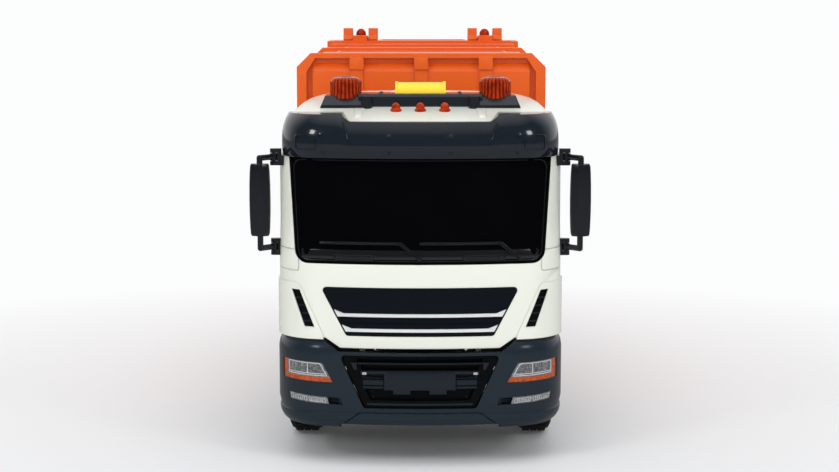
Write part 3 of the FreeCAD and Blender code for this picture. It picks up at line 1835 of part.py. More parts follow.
def tailgate_shell():
    shell = tail_hull(0).cut(tail_hull(tail_wall))
    inner_half = body_skin_half - body_wall
    gate = block(
        -inner_half, inner_half, tail_front_station - overrun, tail_front_station + tail_wall * 2,
        deck_height + body_floor_wall, body_skin_top - body_wall - body_chamfer,
    )
    run = tail_back_station - tail_front_station
    rise = tail_top - tail_bottom
    upper = tail_bottom + rise * mouth_upper_share
    lower = tail_bottom + rise * mouth_lower_share
    upper_station = tail_front_station + run * tail_outline_shares[4][0]
    mouth = side_prism(
        [
            (upper_station - overrun, upper - tail_corner),
            (tail_back_station + overrun, upper - tail_corner),
            (tail_back_station + overrun, lower + tail_corner / 2),
            (tail_back_station - overrun * 2, lower + tail_corner / 2),
        ],
        tail_wall - tail_half, tail_half - tail_wall,
    )
    pieces = [shell.cut([gate, mouth])]
    for x0 in (hinge_lug_outer_half + ear_gap, hinge_lug_inner_half - ear_gap - ear_wall):
        pieces += both(ear(x0))
    pieces.append(block(
        -tail_half, tail_half, tail_back_station - tail_corner, tail_back_station + lamp_bar_depth,
        lamp_bar_bottom, lamp_bar_top,
    ).cut(tail_hull(tail_wall)))
    pieces.append(block(
        -tail_half, tail_half, tail_back_station - tail_corner * 3, tail_back_station,
        lamp_bar_bottom, lamp_bar_bottom + tail_wall,
    ).cut(tail_hull(tail_wall)))
    bracket_out = lift_half + seat_gap + lift_arm_wall
    bracket = side_prism(
        [
            (tail_back_station - tail_wall, lift_height - lift_eye_radius * 2),
            (tail_back_station - tail_wall, lift_height + lift_eye_radius),
            (lift_station, lift_height + lift_eye_radius),
            (lift_station + lift_eye_radius, lift_height),
            (lift_station, lift_height - lift_eye_radius),
        ],
        lift_half + seat_gap, bracket_out,
    )
    lift_pin = cross_rod(
        lift_half - lift_arm_wall, lift_half + seat_gap, lift_station, lift_height, lift_pin_radius,
    )
    pieces += both(joined([bracket, lift_pin]))
    bar_back = tail_back_station + lamp_bar_depth
    for x0 in (rider_inner_half - seat_gap - rider_wall, rider_outer_half + seat_gap):
        width = min(rider_wall, tail_half - x0)
        hook = block(
            x0, x0 + width, bar_back - rider_eye_radius, rider_hinge_station + rider_eye_radius,
            rider_hinge_height - rider_eye_radius, rider_hinge_height + rider_eye_radius,
        )
        pieces += both(hook)
    pieces += both(cross_rod(
        rider_inner_half - seat_gap - rider_wall, rider_outer_half + seat_gap + rider_wall / 2,
        rider_hinge_station, rider_hinge_height, rider_pin_radius,
    ))
    whole = joined(pieces)
    bores = both(cross_rod(
        tail_half - tail_wall - overrun, tail_half + overrun, packer_station, packer_height,
        packer_shaft_radius + bore_gap,
    ))
    notch_inner = hinge_lug_inner_half - ear_gap
    notch_outer = hinge_lug_outer_half + ear_gap
    bores += both(cross_rod(
        notch_inner, notch_outer, hinge_station, hinge_height, hinge_lug_radius + panel_gap,
    ))
    bores += both(block(
        notch_inner, notch_outer, tail_front_station - overrun, hinge_station,
        hinge_height - hinge_lug_radius - panel_gap, hinge_height,
    ))
    return whole.cut(bores)


def rear_beacons():
    middle = (hinge_lug_inner_half + hinge_lug_outer_half) / 2
    dome = rear_beacon_top - rear_beacon_radius
    return pair(spun(
        [
            (0, tail_top), (rear_beacon_radius, tail_top), (rear_beacon_radius, dome),
            (rear_beacon_radius * 0.9, dome + rear_beacon_radius * 0.44),
            (rear_beacon_radius * 0.62, dome + rear_beacon_radius * 0.8),
            (rear_beacon_radius * 0.3, rear_beacon_top), (0, rear_beacon_top),
        ],
        middle, rear_beacon_station,
    ))


def tail_lamps():
    back = tail_back_station + lamp_bar_depth
    return pair(block(
        tail_lamp_inner_half, tail_lamp_outer_half, back, back + tail_lamp_depth,
        tail_lamp_bottom, tail_lamp_top,
    ))


def packer_blade():
    half = tail_half - tail_wall - packer_side_gap
    shaft = cross_rod(
        seat_gap - tail_half, tail_half - seat_gap, packer_station, packer_height,
        packer_shaft_radius,
    )
    tip_run = packer_reach * math.sin(math.radians(packer_rest_angle))
    tip_drop = packer_reach * math.cos(math.radians(packer_rest_angle))
    blade = side_prism(
        [
            (packer_station - packer_wall / 2, packer_height),
            (packer_station + packer_wall / 2, packer_height),
            (packer_station - tip_run * 2 / 3 + packer_wall, packer_height - tip_drop * 2 / 3),
            (packer_station - tip_run + packer_wall * 3, packer_height - tip_drop),
            (packer_station - tip_run + packer_wall * 2, packer_height - tip_drop),
            (packer_station - tip_run * 2 / 3, packer_height - tip_drop * 2 / 3),
        ],
        -half, half,
    )
    ribs = [
        side_prism(
            [
                (packer_station - packer_wall / 2, packer_height),
                (packer_station + packer_wall / 2, packer_height),
                (packer_station - tip_run * 2 / 3, packer_height - tip_drop * 2 / 3),
                (packer_station - tip_run * 2 / 3 - packer_wall * 2, packer_height - tip_drop / 2),
            ],
            half * share - packer_wall / 2, half * share + packer_wall / 2,
        )
        for share in (-0.6, 0, 0.6)
    ]
    return joined([shaft, blade] + ribs)


def bin_lift():
    arm = side_prism(
        [
            (lift_station - lift_pin_radius, lift_height),
            (lift_station + lift_eye_radius, lift_height),
            (lift_plate_front_station + lift_plate_wall, lift_plate_top),
            (lift_plate_front_station + lift_plate_wall, lift_plate_bottom),
            (lift_plate_front_station, lift_plate_bottom),
        ],
        lift_half - lift_arm_wall, lift_half,
    )
    eye = cross_rod(
        lift_half - lift_arm_wall, lift_half, lift_station, lift_height, lift_eye_radius,
    )
    bore = cross_rod(
        lift_half - overrun, lift_half + overrun, lift_station, lift_height,
        lift_pin_radius + bore_gap,
    )
    pieces = both(joined([arm, eye]).cut(bore))
    pieces.append(block(
        -lift_half, lift_half, lift_plate_front_station,
        lift_plate_front_station + lift_plate_wall, lift_plate_bottom, lift_plate_top,
    ))
    pieces.append(block(
        -lift_half, lift_half, lift_plate_front_station, lift_shelf_back_station,
        lift_plate_top - lift_shelf_wall, lift_plate_top,
    ))
    pitch = (lift_half * 2 - lift_tooth_width) / (lift_tooth_count - 1)
    for index in range(lift_tooth_count):
        start = -lift_half + pitch * index
        pieces.append(block(
            start, start + lift_tooth_width, lift_shelf_back_station - lift_tooth_depth,
            lift_shelf_back_station, lift_plate_top - lift_shelf_wall, lift_tooth_top,
        ))
    pieces += both(block(
        lift_stop_inner_half, lift_stop_outer_half, lift_plate_front_station,
        lift_plate_front_station + lift_stop_depth, lift_plate_bottom,
        lift_plate_bottom + lift_stop_height,
    ))
    return joined(pieces)


def rider_step():
    tread = block(
        rider_inner_half, rider_outer_half, rider_hinge_station, rider_back_station,
        rider_hinge_height - rider_wall / 2, rider_hinge_height + rider_wall / 2,
    )
    sleeve = cross_rod(
        rider_inner_half, rider_outer_half, rider_hinge_station, rider_hinge_height,
        rider_eye_radius,
    )
    edge = block(
        rider_inner_half, rider_outer_half, rider_back_station - rider_wall, rider_back_station,
        rider_hinge_height - rider_wall, rider_hinge_height + rider_wall,
    )
    bore = cross_rod(
        rider_inner_half - overrun, rider_outer_half + overrun, rider_hinge_station,
        rider_hinge_height, rider_pin_radius + bore_gap,
    )
    return joined([tread, sleeve, edge]).cut(bore)


def main():
    os.makedirs("parts", exist_ok=True)
    write("chassis_frame", chassis_frame())
    write("engine_block", engine_block())
    write("front_axle", front_axle())
    write("rear_axles", rear_axles())
    write("side_tanks", side_tanks())
    write("side_guards", side_guards())
    write("front_mudguards", front_mudguards())
    write("rear_mudguards", rear_mudguards())
    write("bumper", bumper())
    write("bumper_grille", bumper_grille())
    write("headlights", headlights())
    write("indicators", indicators())
    write("track_rod", track_rod())
    write("cab_shell", cab_shell())
    write("mirror_brackets", mirror_brackets())
    write("windscreen", windscreen())
    write("visor", visor())
    write("light_bar", light_bar())
    write("roof_lamps", roof_lamps())
    write("push_button", push_button())
    write("front_grille", front_grille())
    write("grille_chrome", grille_chrome())
    write("corner_vents", corner_vents())
    write("wipers", wipers())
    write("dashboard", dashboard())
    write("seats", seats())
    write("body_shell", body_shell())
    write("push_plate", push_plate())
    write("tailgate_shell", tailgate_shell())
    write("rear_beacons", rear_beacons())
    write("tail_lamps", tail_lamps())
    write("packer_blade", packer_blade())
    write("bin_lift", bin_lift())
    twin_inner = rear_outer_half - twin_width * 2 - twin_gap
    single = [(front_outer_half - tyre_width, front_outer_half)]
    twins = [
        (twin_inner, twin_inner + twin_width), (rear_outer_half - twin_width, rear_outer_half),
    ]
    front_hub = knuckle_web_half + knuckle_plate + seat_gap
    wheels = (
        ("front", front_axle_station, single, front_hub),
        ("middle", first_rear_station, twins, twin_inner),
        ("rear", second_rear_station, twins, twin_inner),
    )
    for side in ("left", "right"):
        place = mirrored if side == "left" else (lambda shape: shape)
        write("knuckle_" + side, place(knuckle()))
        write("door_" + side, place(door()))
        write("door_glass_" + side, place(door_glass()))
        write("mirror_" + side, place(mirror()))
        write("rider_step_" + side, place(rider_step()))
        for name, station, bands, hub_start in wheels:
            tyres = [tyre(start, end, station) for start, end in bands]
            wheel = rim(bands[0][0], bands[-1][1], station, hub_start)
            write("tyre_" + name + "_" + side, place(loose(tyres)))
            write("rim_" + name + "_" + side, place(wheel))


main()
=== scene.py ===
import json
import math

import bmesh
import bpy
from mathutils import Matrix, Vector
from mathutils.bvhtree import BVHTree

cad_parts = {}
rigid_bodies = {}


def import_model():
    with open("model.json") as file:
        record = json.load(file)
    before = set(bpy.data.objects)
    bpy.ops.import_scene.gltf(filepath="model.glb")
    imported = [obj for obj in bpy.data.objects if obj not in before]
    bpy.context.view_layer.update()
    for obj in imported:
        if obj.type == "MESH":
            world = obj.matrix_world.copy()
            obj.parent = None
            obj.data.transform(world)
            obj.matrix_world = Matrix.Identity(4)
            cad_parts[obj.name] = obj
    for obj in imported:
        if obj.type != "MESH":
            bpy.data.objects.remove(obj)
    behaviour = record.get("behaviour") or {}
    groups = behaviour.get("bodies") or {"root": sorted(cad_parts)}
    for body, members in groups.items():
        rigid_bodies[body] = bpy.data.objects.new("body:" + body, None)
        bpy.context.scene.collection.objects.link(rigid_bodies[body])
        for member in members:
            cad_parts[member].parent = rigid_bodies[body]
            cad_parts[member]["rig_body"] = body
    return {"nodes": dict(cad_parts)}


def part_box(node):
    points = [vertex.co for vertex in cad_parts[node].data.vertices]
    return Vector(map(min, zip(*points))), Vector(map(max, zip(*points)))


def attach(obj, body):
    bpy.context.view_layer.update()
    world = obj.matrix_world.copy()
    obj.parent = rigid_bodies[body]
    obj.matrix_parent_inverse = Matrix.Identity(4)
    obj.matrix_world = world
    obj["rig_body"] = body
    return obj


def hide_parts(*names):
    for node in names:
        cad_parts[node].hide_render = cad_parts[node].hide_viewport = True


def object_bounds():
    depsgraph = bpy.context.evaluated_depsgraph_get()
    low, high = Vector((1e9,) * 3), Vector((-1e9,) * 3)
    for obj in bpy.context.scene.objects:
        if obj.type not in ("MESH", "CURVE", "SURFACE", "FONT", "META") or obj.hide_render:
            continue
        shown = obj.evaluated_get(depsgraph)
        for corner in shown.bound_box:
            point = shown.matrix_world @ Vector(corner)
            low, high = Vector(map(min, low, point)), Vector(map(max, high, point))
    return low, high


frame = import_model()
cad_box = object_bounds()


# Studio. The toy stands on a pale tabletop that fades to white around it, seen from in front and
# a little above with a long lens. Objects are in metres, places on the toy are given in
# millimetres, and a station is the distance behind the front of the bumper.
front = cad_box[0].y
mm = 0.001


def at(x, station, z):
    return Vector((x * mm, front + station * mm, z * mm))


photo_width = 839
focal_pixels = 1738
film_width = 36.0
camera_place = (4.2, -905, 248.7)
camera_pitch = math.radians(7.73)
vanishing_offset_pixels = 8.5

lens = bpy.data.cameras.new("studio_camera")
lens.sensor_width = film_width
lens.lens = film_width * focal_pixels / photo_width
camera = bpy.data.objects.new("studio_camera", lens)
bpy.context.scene.collection.objects.link(camera)
camera.location = at(*camera_place)
camera_yaw = math.atan(vanishing_offset_pixels / focal_pixels)
camera.rotation_euler = (math.pi / 2 - camera_pitch, 0, camera_yaw)
bpy.context.scene.camera = camera
bpy.context.scene.view_settings.view_transform = "Standard"


class Socket:
    """A value inside one finish's node tree, with the sums and products that are used on it."""

    def __init__(self, finish, link):
        self.finish = finish
        self.link = link

    def __add__(self, other):
        return self.finish.maths("ADD", self, other)

    def __sub__(self, other):
        return self.finish.maths("SUBTRACT", self, other)

    def __rsub__(self, other):
        return self.finish.maths("SUBTRACT", other, self)

    def __mul__(self, other):
        return self.finish.maths("MULTIPLY", self, other)

    __radd__ = __add__
    __rmul__ = __mul__

    def either(self, other):
        return self.finish.maths("MAXIMUM", self, other)

    def clipped(self, low, high):
        """0 below low, 1 above high and a straight ramp between."""
        inputs = {"Value": self, "From Min": low, "From Max": high}
        return self.finish.node("ShaderNodeMapRange", {"clamp": True}, inputs)


class Finish:
    """A procedural material, or the studio's surroundings: one shader and the nodes that feed it."""

    def __init__(self, name, slot=None, surroundings=None):
        self.slot = slot
        self.material = surroundings or bpy.data.materials.new(name)
        self.material.use_nodes = True
        self.tree = self.material.node_tree
        self.tree.nodes.clear()
        kind = "ShaderNodeOutputWorld" if surroundings else "ShaderNodeOutputMaterial"
        self.output = self.tree.nodes.new(kind)

    def join(self, socket, value):
        if isinstance(value, Socket):
            self.tree.links.new(value.link, socket)
        elif isinstance(value, tuple) and len(value) == 3 and socket.type == "RGBA":
            socket.default_value = (*value, 1.0)
        else:
            socket.default_value = value

    def node(self, kind, settings, inputs, output=0):
        made = self.tree.nodes.new(kind)
        for key, value in settings.items():
            setattr(made, key, value)
        for key, value in inputs.items():
            self.join(made.inputs[key], value)
        return Socket(self, made.outputs[output])

    def maths(self, operation, *values):
        return self.node("ShaderNodeMath", {"operation": operation}, dict(enumerate(values)))

    def light(self, kind, colour, strength):
        return self.node(kind, {}, {"Color": colour, "Strength": strength})

    def ray(self, kind):
        return self.node("ShaderNodeLightPath", {}, {}, kind)

    def axis(self, where, name):
        return self.node("ShaderNodeSeparateXYZ", {}, {0: where}, name)

    def place(self, stretch=(1, 1, 1), shift=(0, 0, 0)):
        where = self.node("ShaderNodeTexCoord", {}, {}, "Object")
        inputs = {"Vector": where, "Location": shift, "Scale": stretch}
        return self.node("ShaderNodeMapping", {}, inputs)

    def mixed(self, low, high, share):
        """A shader between two shaders."""
        return self.node("ShaderNodeMixShader", {}, {0: share, 1: low, 2: high})

    def surface(self, made):
        self.join(self.output.inputs["Surface"], made)
        return self

    def blend(self, low, high, share):
        """A colour between two colours."""
        inputs = {0: share, 6: low, 7: high}
        return self.node("ShaderNodeMix", {"data_type": "RGBA"}, inputs, 2)

    def noise(self, size, detail=2.0, where=None):
        inputs = {"Vector": where or self.place(), "Scale": 1 / size, "Detail": detail}
        return self.node("ShaderNodeTexNoise", {}, inputs)

    def edges(self, radius):
        """Rounded normal of sharp edges, and a mask that is 1 along them."""
        rounded = self.node("ShaderNodeBevel", {"samples": 4}, {"Radius": radius})
        true = self.node("ShaderNodeNewGeometry", {}, {}, "Normal")
        agree = self.node(
            "ShaderNodeVectorMath", {"operation": "DOT_PRODUCT"}, {0: rounded, 1: true}, "Value",
        )
        return rounded, (1 - agree).clipped(0.01, 0.25)

    def bump(self, height, strength, distance, normal=None):
        inputs = {"Height": height, "Strength": strength, "Distance": distance}
        if normal:
            inputs["Normal"] = normal
        return self.node("ShaderNodeBump", {}, inputs)

    def shader(self, inputs):
        return self.surface(self.node("ShaderNodeBsdfPrincipled", {}, inputs))


merge_distance = 2e-6
crease_angle = math.radians(28)


def settled(mesh, name, finish, outward=True):
    """Makes an object of a mesh: doubles merged, faces outwards, smooth between sharp edges."""
    bmesh.ops.remove_doubles(mesh, verts=mesh.verts, dist=merge_distance)
    if outward:
        bmesh.ops.recalc_face_normals(mesh, faces=mesh.faces)
    for face in mesh.faces:
        face.smooth = True
    for edge in mesh.edges:
        if len(edge.link_faces) != 2 or edge.calc_face_angle(math.pi) > crease_angle:
            edge.smooth = False
    data = bpy.data.meshes.new(name)
    mesh.to_mesh(data)
    mesh.free()
    data.materials.append(finish.material)
    piece = bpy.data.objects.new(name, data)
    bpy.context.scene.collection.objects.link(piece)
    return piece


studio_white = (0.975, 0.978, 0.985)
table_half = 12.0
table_colour = (0.84, 0.843, 0.85)
fade_start = 0.12
fade_end = 0.66
fade_shift = (0.0, 0.35, 0.0)
table_gloss_light = 0.14
table_gloss_share = 0.65

# The camera sees the table fade to white, and glossy pieces see it dimmed, so that the dark
# plastics stay dark.
table = Finish("pale_tabletop")
table_lit = table.node("ShaderNodeBsdfDiffuse", {}, {"Color": table_colour})
table_white = table.light("ShaderNodeEmission", studio_white, 1.0)
table_dim = table.light("ShaderNodeEmission", studio_white, table_gloss_light)
from_middle = table.node(
    "ShaderNodeVectorMath", {"operation": "LENGTH"}, {0: table.place(shift=fade_shift)}, "Value",
)
table_fade = from_middle.clipped(fade_start, fade_end)
table_look = table.mixed(table_lit, table_white, table_fade * table.ray("Is Camera Ray"))
table_look = table.mixed(table_look, table_dim, table.ray("Is Glossy Ray") * table_gloss_share)
table.surface(table_look)
mesh = bmesh.new()
bmesh.ops.create_grid(mesh, x_segments=1, y_segments=1, size=table_half)
settled(mesh, "tabletop", table, outward=False)

# The surroundings are white where the camera or a see-through piece looks at them. Glossy pieces
# reflect that white from behind and overhead, and a dim room from the camera's side.
fill_colour = (0.96, 0.98, 1.0)
fill_light = 0.55
dim_colour = (0.95, 0.97, 1.0)
dim_light = 0.10
back_ramp = (-0.05, 0.5)
overhead_ramp = (0.8, 1.0)
studio_world = bpy.data.worlds.new("studio_world")
bpy.context.scene.world = studio_world
room = Finish("room", surroundings=studio_world)
room_fill = room.light("ShaderNodeBackground", fill_colour, fill_light)
room_white = room.light("ShaderNodeBackground", studio_white, 1.0)
room_dim = room.light("ShaderNodeBackground", dim_colour, dim_light)
room_way = room.node("ShaderNodeTexCoord", {}, {}, "Generated")
room_back = room.axis(room_way, "Y").clipped(*back_ramp)
room_up = room.axis(room_way, "Z").clipped(*overhead_ramp)
room_mirrored = room.mixed(room_dim, room_white, room_back.either(room_up))
room_hidden = room.mixed(room_fill, room_mirrored, room.ray("Is Glossy Ray"))
room_seen = room.ray("Is Camera Ray").either(room.ray("Is Transmission Ray"))
room.surface(room.mixed(room_hidden, room_white, room_seen))

# The two small lamps show as highlights in the gloss. The large ones are hidden from it.
lamp_aim = Vector((0.0, -0.1, 0.1))


def softbox(name, place, width, height, power, mirrored=True):
    lamp = bpy.data.lights.new(name, "AREA")
    lamp.shape = "RECTANGLE"
    lamp.size = width
    lamp.size_y = height
    lamp.energy = power
    holder = bpy.data.objects.new(name, lamp)
    bpy.context.scene.collection.objects.link(holder)
    holder.location = place
    holder.visible_glossy = mirrored
    holder.rotation_euler = (lamp_aim - Vector(place)).to_track_quat("-Z", "Y").to_euler()


softbox("overhead_softbox", (0.0, -1.0, 1.7), width=1.8, height=1.3, power=12.5, mirrored=False)
softbox("left_softbox", (-1.15, -1.35, 1.15), width=0.34, height=0.34, power=4.7)
softbox("right_softbox", (1.2, -1.3, 1.05), width=0.34, height=0.34, power=4.1)
softbox("low_front_softbox", (0.0, -2.2, 0.62), width=2.4, height=0.6, power=8.5, mirrored=False)
softbox("rear_softbox", (0.0, 1.7, 1.2), width=1.6, height=0.8, power=4.0, mirrored=False)


# Chassis. A ladder frame of stiff black plastic with its cross members moulded in and bolt heads
# along its rails, and an engine block of the same plastic clipped between them.
sides = (("left", -1), ("right", 1))


def fitted(piece, body, slot, *nodes):
    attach(piece, body)
    if nodes:
        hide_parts(*nodes)


def copied(node):
    mesh = bmesh.new()
    mesh.from_mesh(frame["nodes"][node].data)
    bmesh.ops.remove_doubles(mesh, verts=mesh.verts, dist=merge_distance)
    return mesh


def skinned(node, name, finish, slot=None):
    """A node's own form as a finished skin, its curved faces smooth and its edges kept sharp."""
    piece = settled(copied(node), name, finish, outward=False)
    fitted(piece, frame["nodes"][node]["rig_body"], slot or finish.slot, node)


def from_screen(red, green, blue):
    """Linear colour of a screen colour in 0 to 255, by the standard curve of screens."""
    channels = [value / 255 for value in (red, green, blue)]
    return tuple(
        value / 12.92 if value <= 0.04045 else ((value + 0.055) / 1.055) ** 2.4
        for value in channels
    )


def shaded(colour, share):
    return tuple(min(1.0, value * share) for value in colour)


cloud_size = 90 * mm
patch_size = 12 * mm
grain_size = 0.6 * mm
grain_strength = 0.5
# Paler patches along edges: a little wear, and a painted highlight where the share is large.
scuff_and_highlight_patches = (0.34375, 0.96875)
scuff_and_highlight_share = 0.4
scuff_and_highlight_gain = 1.8
scuff_and_highlight_least = 0.25
cloud_sheen = 0.12
patch_sheen = 0.08
edge_sheen = 0.04


def moulded(
    name, slot, screen_colour, roughness, edge_radius=0.5 * mm, grain_depth=0.02 * mm, shift=0.06,
    edge_wear_and_highlight=0.12, coat=0.0, coat_roughness=0.1, specular=0.5,
):
    """Moulded plastic: a slow colour shift, fine mould grain, soft edges and paler edges in patches,
    which are wear where the share is small and a painted highlight where it is large.
    """
    plastic = Finish(name, slot)
    colour = from_screen(*screen_colour)
    rounded, rim_mask = plastic.edges(edge_radius)
    cloud = plastic.noise(cloud_size, detail=3.0)
    patch = plastic.noise(patch_size, detail=4.0)
    speck = plastic.noise(grain_size)
    tone = plastic.blend(shaded(colour, 1 - shift), shaded(colour, 1 + shift), cloud)
    pale = tuple(max(scuff_and_highlight_least, min(1.0, value * scuff_and_highlight_gain)) for value in colour)
    worn_and_highlit = tuple(old + (new - old) * scuff_and_highlight_share for old, new in zip(colour, pale))
    tone = plastic.blend(tone, worn_and_highlit, patch.clipped(*scuff_and_highlight_patches) * rim_mask * edge_wear_and_highlight)
    sheen = (cloud - 0.5) * cloud_sheen + (patch - 0.5) * patch_sheen + rim_mask * edge_sheen
    return plastic.shader({
        "Base Color": tone, "Roughness": roughness + sheen, "Coat Weight": coat,
        "Normal": plastic.bump(speck, grain_strength, grain_depth, rounded),
        "Coat Roughness": coat_roughness, "Specular IOR Level": specular,
    })


def joined_in(mesh, one):
    """Adds a small closed mesh to a larger one, and frees it."""
    bmesh.ops.remove_doubles(one, verts=one.verts, dist=merge_distance)
    bmesh.ops.recalc_face_normals(one, faces=one.faces)
    part = bpy.data.meshes.new("part")
    one.to_mesh(part)
    one.free()
    mesh.from_mesh(part)
    bpy.data.meshes.remove(part)


# Where a look at the toy from each side begins, and which way it goes.
far = 1000
looks = {
    "front": (lambda u, v: at(u, -far, v), Vector((0, 1, 0))),
    "back": (lambda u, v: at(u, 2 * far, v), Vector((0, -1, 0))),
    "left": (lambda u, v: at(-far, u, v), Vector((1, 0, 0))),
    "right": (lambda u, v: at(far, u, v), Vector((-1, 0, 0))),
    "top": (lambda u, v: at(u, v, far), Vector((0, 0, -1))),
}


def laid_flat(side, level):
    """Places points, given across, up and out in millimetres, on a flat face square to a side."""
    begin, way = looks[side]
    axis = max(range(3), key=lambda index: abs(way[index]))

    def lay(u, v, height):
        place = begin(u, v)
        place[axis] = level * mm + (front if axis == 1 else 0.0)
        return place - way * height * mm

    return lay


def rounded_off(mesh, items, offset, affect="EDGES", segments=2):
    bmesh.ops.bevel(
        mesh, geom=items, offset=offset, offset_type="OFFSET", affect=affect, segments=segments,
        profile=0.5, material=-1,
    )


def sliced(mesh, place, normal, clear=False):
    """Cuts a mesh by a plane, and clears what is in front of it if asked."""
    items = mesh.verts[:] + mesh.edges[:] + mesh.faces[:]
    bmesh.ops.bisect_plane(mesh, geom=items, plane_co=place, plane_no=normal, clear_outer=clear)


def raised(mesh, flat, lay, proud, sunk, soft, pitch):
    """Gives a flat outline its thickness and soft edges, and lays it on a face."""
    for axis in (0, 1):
        places = [vert.co[axis] for vert in flat.verts]
        low, high = min(places), max(places)
        cuts = int((high - low) / pitch)
        for index in range(1, cuts + 1):
            point = Vector((0, 0, 0))
            point[axis] = low + (high - low) * index / (cuts + 1)
            normal = Vector((0, 0, 0))
            normal[axis] = 1
            sliced(flat, point, normal)
    grown = bmesh.ops.extrude_face_region(flat, geom=flat.faces[:])["geom"]
    tops = {item for item in grown if isinstance(item, bmesh.types.BMVert)}
    for vert in flat.verts:
        vert.co.z = proud if vert in tops else -sunk
    flat.normal_update()
    rim = [
        edge for edge in flat.edges
        if edge.verts[0] in tops and edge.verts[1] in tops
        and any(abs(face.normal.z) < 0.5 for face in edge.link_faces)
    ]
    rounded_off(flat, rim, soft)
    for vert in flat.verts:
        vert.co = lay(*vert.co)
    joined_in(mesh, flat)


def stud(mesh, lay, u, v, radius, proud, soft=0.2, sunk=0.4, segments=18):
    """A round or six-sided head on a face."""
    flat = bmesh.new()
    bmesh.ops.create_circle(
        flat, cap_ends=True, segments=segments, radius=radius,
        matrix=Matrix.Translation((u, v, 0)),
    )
    raised(mesh, flat, lay, proud, sunk, soft, radius * 4)


def detail(mesh, name, body, finish, slot=None):
    fitted(settled(mesh, name, finish), body, slot or finish.slot)


black_plastic = moulded("black_chassis_plastic", "black_plastic", (22, 23, 26), 0.5, specular=0.3)
dark_plastic = moulded("dark_axle_plastic", "black_plastic", (17, 18, 20), 0.55, specular=0.3)
rail_face = 25
rail_bolt_stations = (150, 172, 214, 246, 278, 310, 366, 390, 430)
rail_bolt_levels = (43.5, 50.5)
skinned("chassis_frame", "ladder_frame", black_plastic)
skinned("engine_block", "engine", dark_plastic)
mesh = bmesh.new()
for side, sign in sides:
    lay = laid_flat(side, rail_face * sign)
    for station in rail_bolt_stations:
        for level in rail_bolt_levels:
            stud(mesh, lay, station, level, radius=0.9, proud=0.7, soft=0.25, segments=6)
detail(mesh, "rail_bolts", "chassis", black_plastic)


# Axles and steering. Plain black mouldings: a front beam with its kingpins, two banjo axles
# behind, and a track rod that snaps over the arms of both knuckles.
skinned("front_axle", "front_beam", dark_plastic)
skinned("rear_axles", "banjo_axles", dark_plastic)
skinned("track_rod", "steering_track_rod", dark_plastic)
for side, sign in sides:
    skinned("knuckle_" + side, "steering_knuckle_" + side, dark_plastic)


# Tyres. Soft black rubber pushed over the rims, with three lanes of tread blocks and a groove
# moulded round each wall. The four rear ones are twins in one piece.
rubber_colour = from_screen(15, 15, 17)
rubber = Finish("tyre_rubber", "tyre_black")
rubber_edge, rubber_rim = rubber.edges(0.3 * mm)
rubber_cloud = rubber.noise(20 * mm, detail=4.0)
rubber_speck = rubber.noise(0.5 * mm)
tyre_rubber = rubber.shader({
    "Base Color": rubber.blend(shaded(rubber_colour, 0.8), shaded(rubber_colour, 1.4), rubber_cloud),
    "Roughness": 0.68 + (rubber_cloud - 0.5) * 0.2 - rubber_rim * 0.12,
    "Normal": rubber.bump(rubber_speck, 0.6, 0.03 * mm, rubber_edge),
    "Specular IOR Level": 0.25,
})
tread_blocks = 40
tread_depth = 1.1 * mm
tread_reach = 0.4 * mm
outer_lane_share = 0.36
middle_lane_share = 0.42
shoulder = 3.2 * mm
shoulder_in_share = 0.35
shoulder_down_share = 0.3
rim_seat = 17.6 * mm
groove_radius = 24.2 * mm
groove_depth = 0.5 * mm
groove_slope = 0.6 * mm
twin_gap = (2 * mm, 3 * mm)
axles = ("front", "middle", "rear")
axle_y = {}
for name in axles:
    low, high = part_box("tyre_" + name + "_right")
    axle_y[name] = (low.y + high.y) / 2
    wheel_radius = (high.z - low.z) / 2


def bands(node):
    """The lowest and highest x of each tyre in a node."""
    xs = sorted({round(vert.co.x, 5) for vert in frame["nodes"][node].data.vertices})
    splits = [
        index for index in range(1, len(xs))
        if twin_gap[0] < xs[index] - xs[index - 1] < twin_gap[1]
    ]
    if not splits:
        return [(xs[0], xs[-1])]
    return [(xs[0], xs[splits[0] - 1]), (xs[splits[0]], xs[-1])]


def tyre_mesh(mesh, x0, x1, y, z):
    """One tyre: a wall and shoulder profile spun about the axle, with blocks raised on it."""
    width = x1 - x0
    crown = wheel_radius - tread_depth
    wall = [
        (0.0, rim_seat), (0.0, groove_radius - groove_slope * 2),
        (groove_depth, groove_radius - groove_slope), (groove_depth, groove_radius + groove_slope),
        (0.0, groove_radius + groove_slope * 2), (0.0, crown - shoulder),
        (shoulder * shoulder_in_share, crown - shoulder * shoulder_down_share), (shoulder, crown),
        (width * outer_lane_share, crown), (width * middle_lane_share, crown),
    ]
    profile = [(x0 + inward, radius) for inward, radius in wall]
    profile += [(x1 - inward, radius) for inward, radius in reversed(wall)]
    verts = [mesh.verts.new((x, y, z + radius)) for x, radius in profile]
    edges = [mesh.edges.new(pair) for pair in zip(verts, verts[1:] + verts[:1])]
    steps = tread_blocks * 3
    bmesh.ops.spin(
        mesh, geom=verts + edges, cent=(0, y, z), axis=(1, 0, 0), angle=math.tau, steps=steps,
        use_merge=True,
    )
    blocks = []
    for face in mesh.faces:
        centre = face.calc_center_median()
        radius = math.hypot(centre.y - y, centre.z - z)
        turn = (math.atan2(centre.z - z, centre.y - y) / math.tau * steps) % steps
        share = (centre.x - x0) / width
        lanes = [
            share < outer_lane_share, middle_lane_share < share < 1 - middle_lane_share,
            share > 1 - outer_lane_share,
        ]
        if radius > crown - tread_reach and any(lanes) and (int(turn) + lanes.index(True)) % 3:
            blocks.append(face)
    grown = bmesh.ops.extrude_face_region(mesh, geom=blocks)
    for vert in [item for item in grown["geom"] if isinstance(item, bmesh.types.BMVert)]:
        out = Vector((0, vert.co.y - y, vert.co.z - z)).normalized()
        vert.co += out * (wheel_radius - math.hypot(vert.co.y - y, vert.co.z - z))
    bmesh.ops.delete(mesh, geom=blocks, context="FACES")


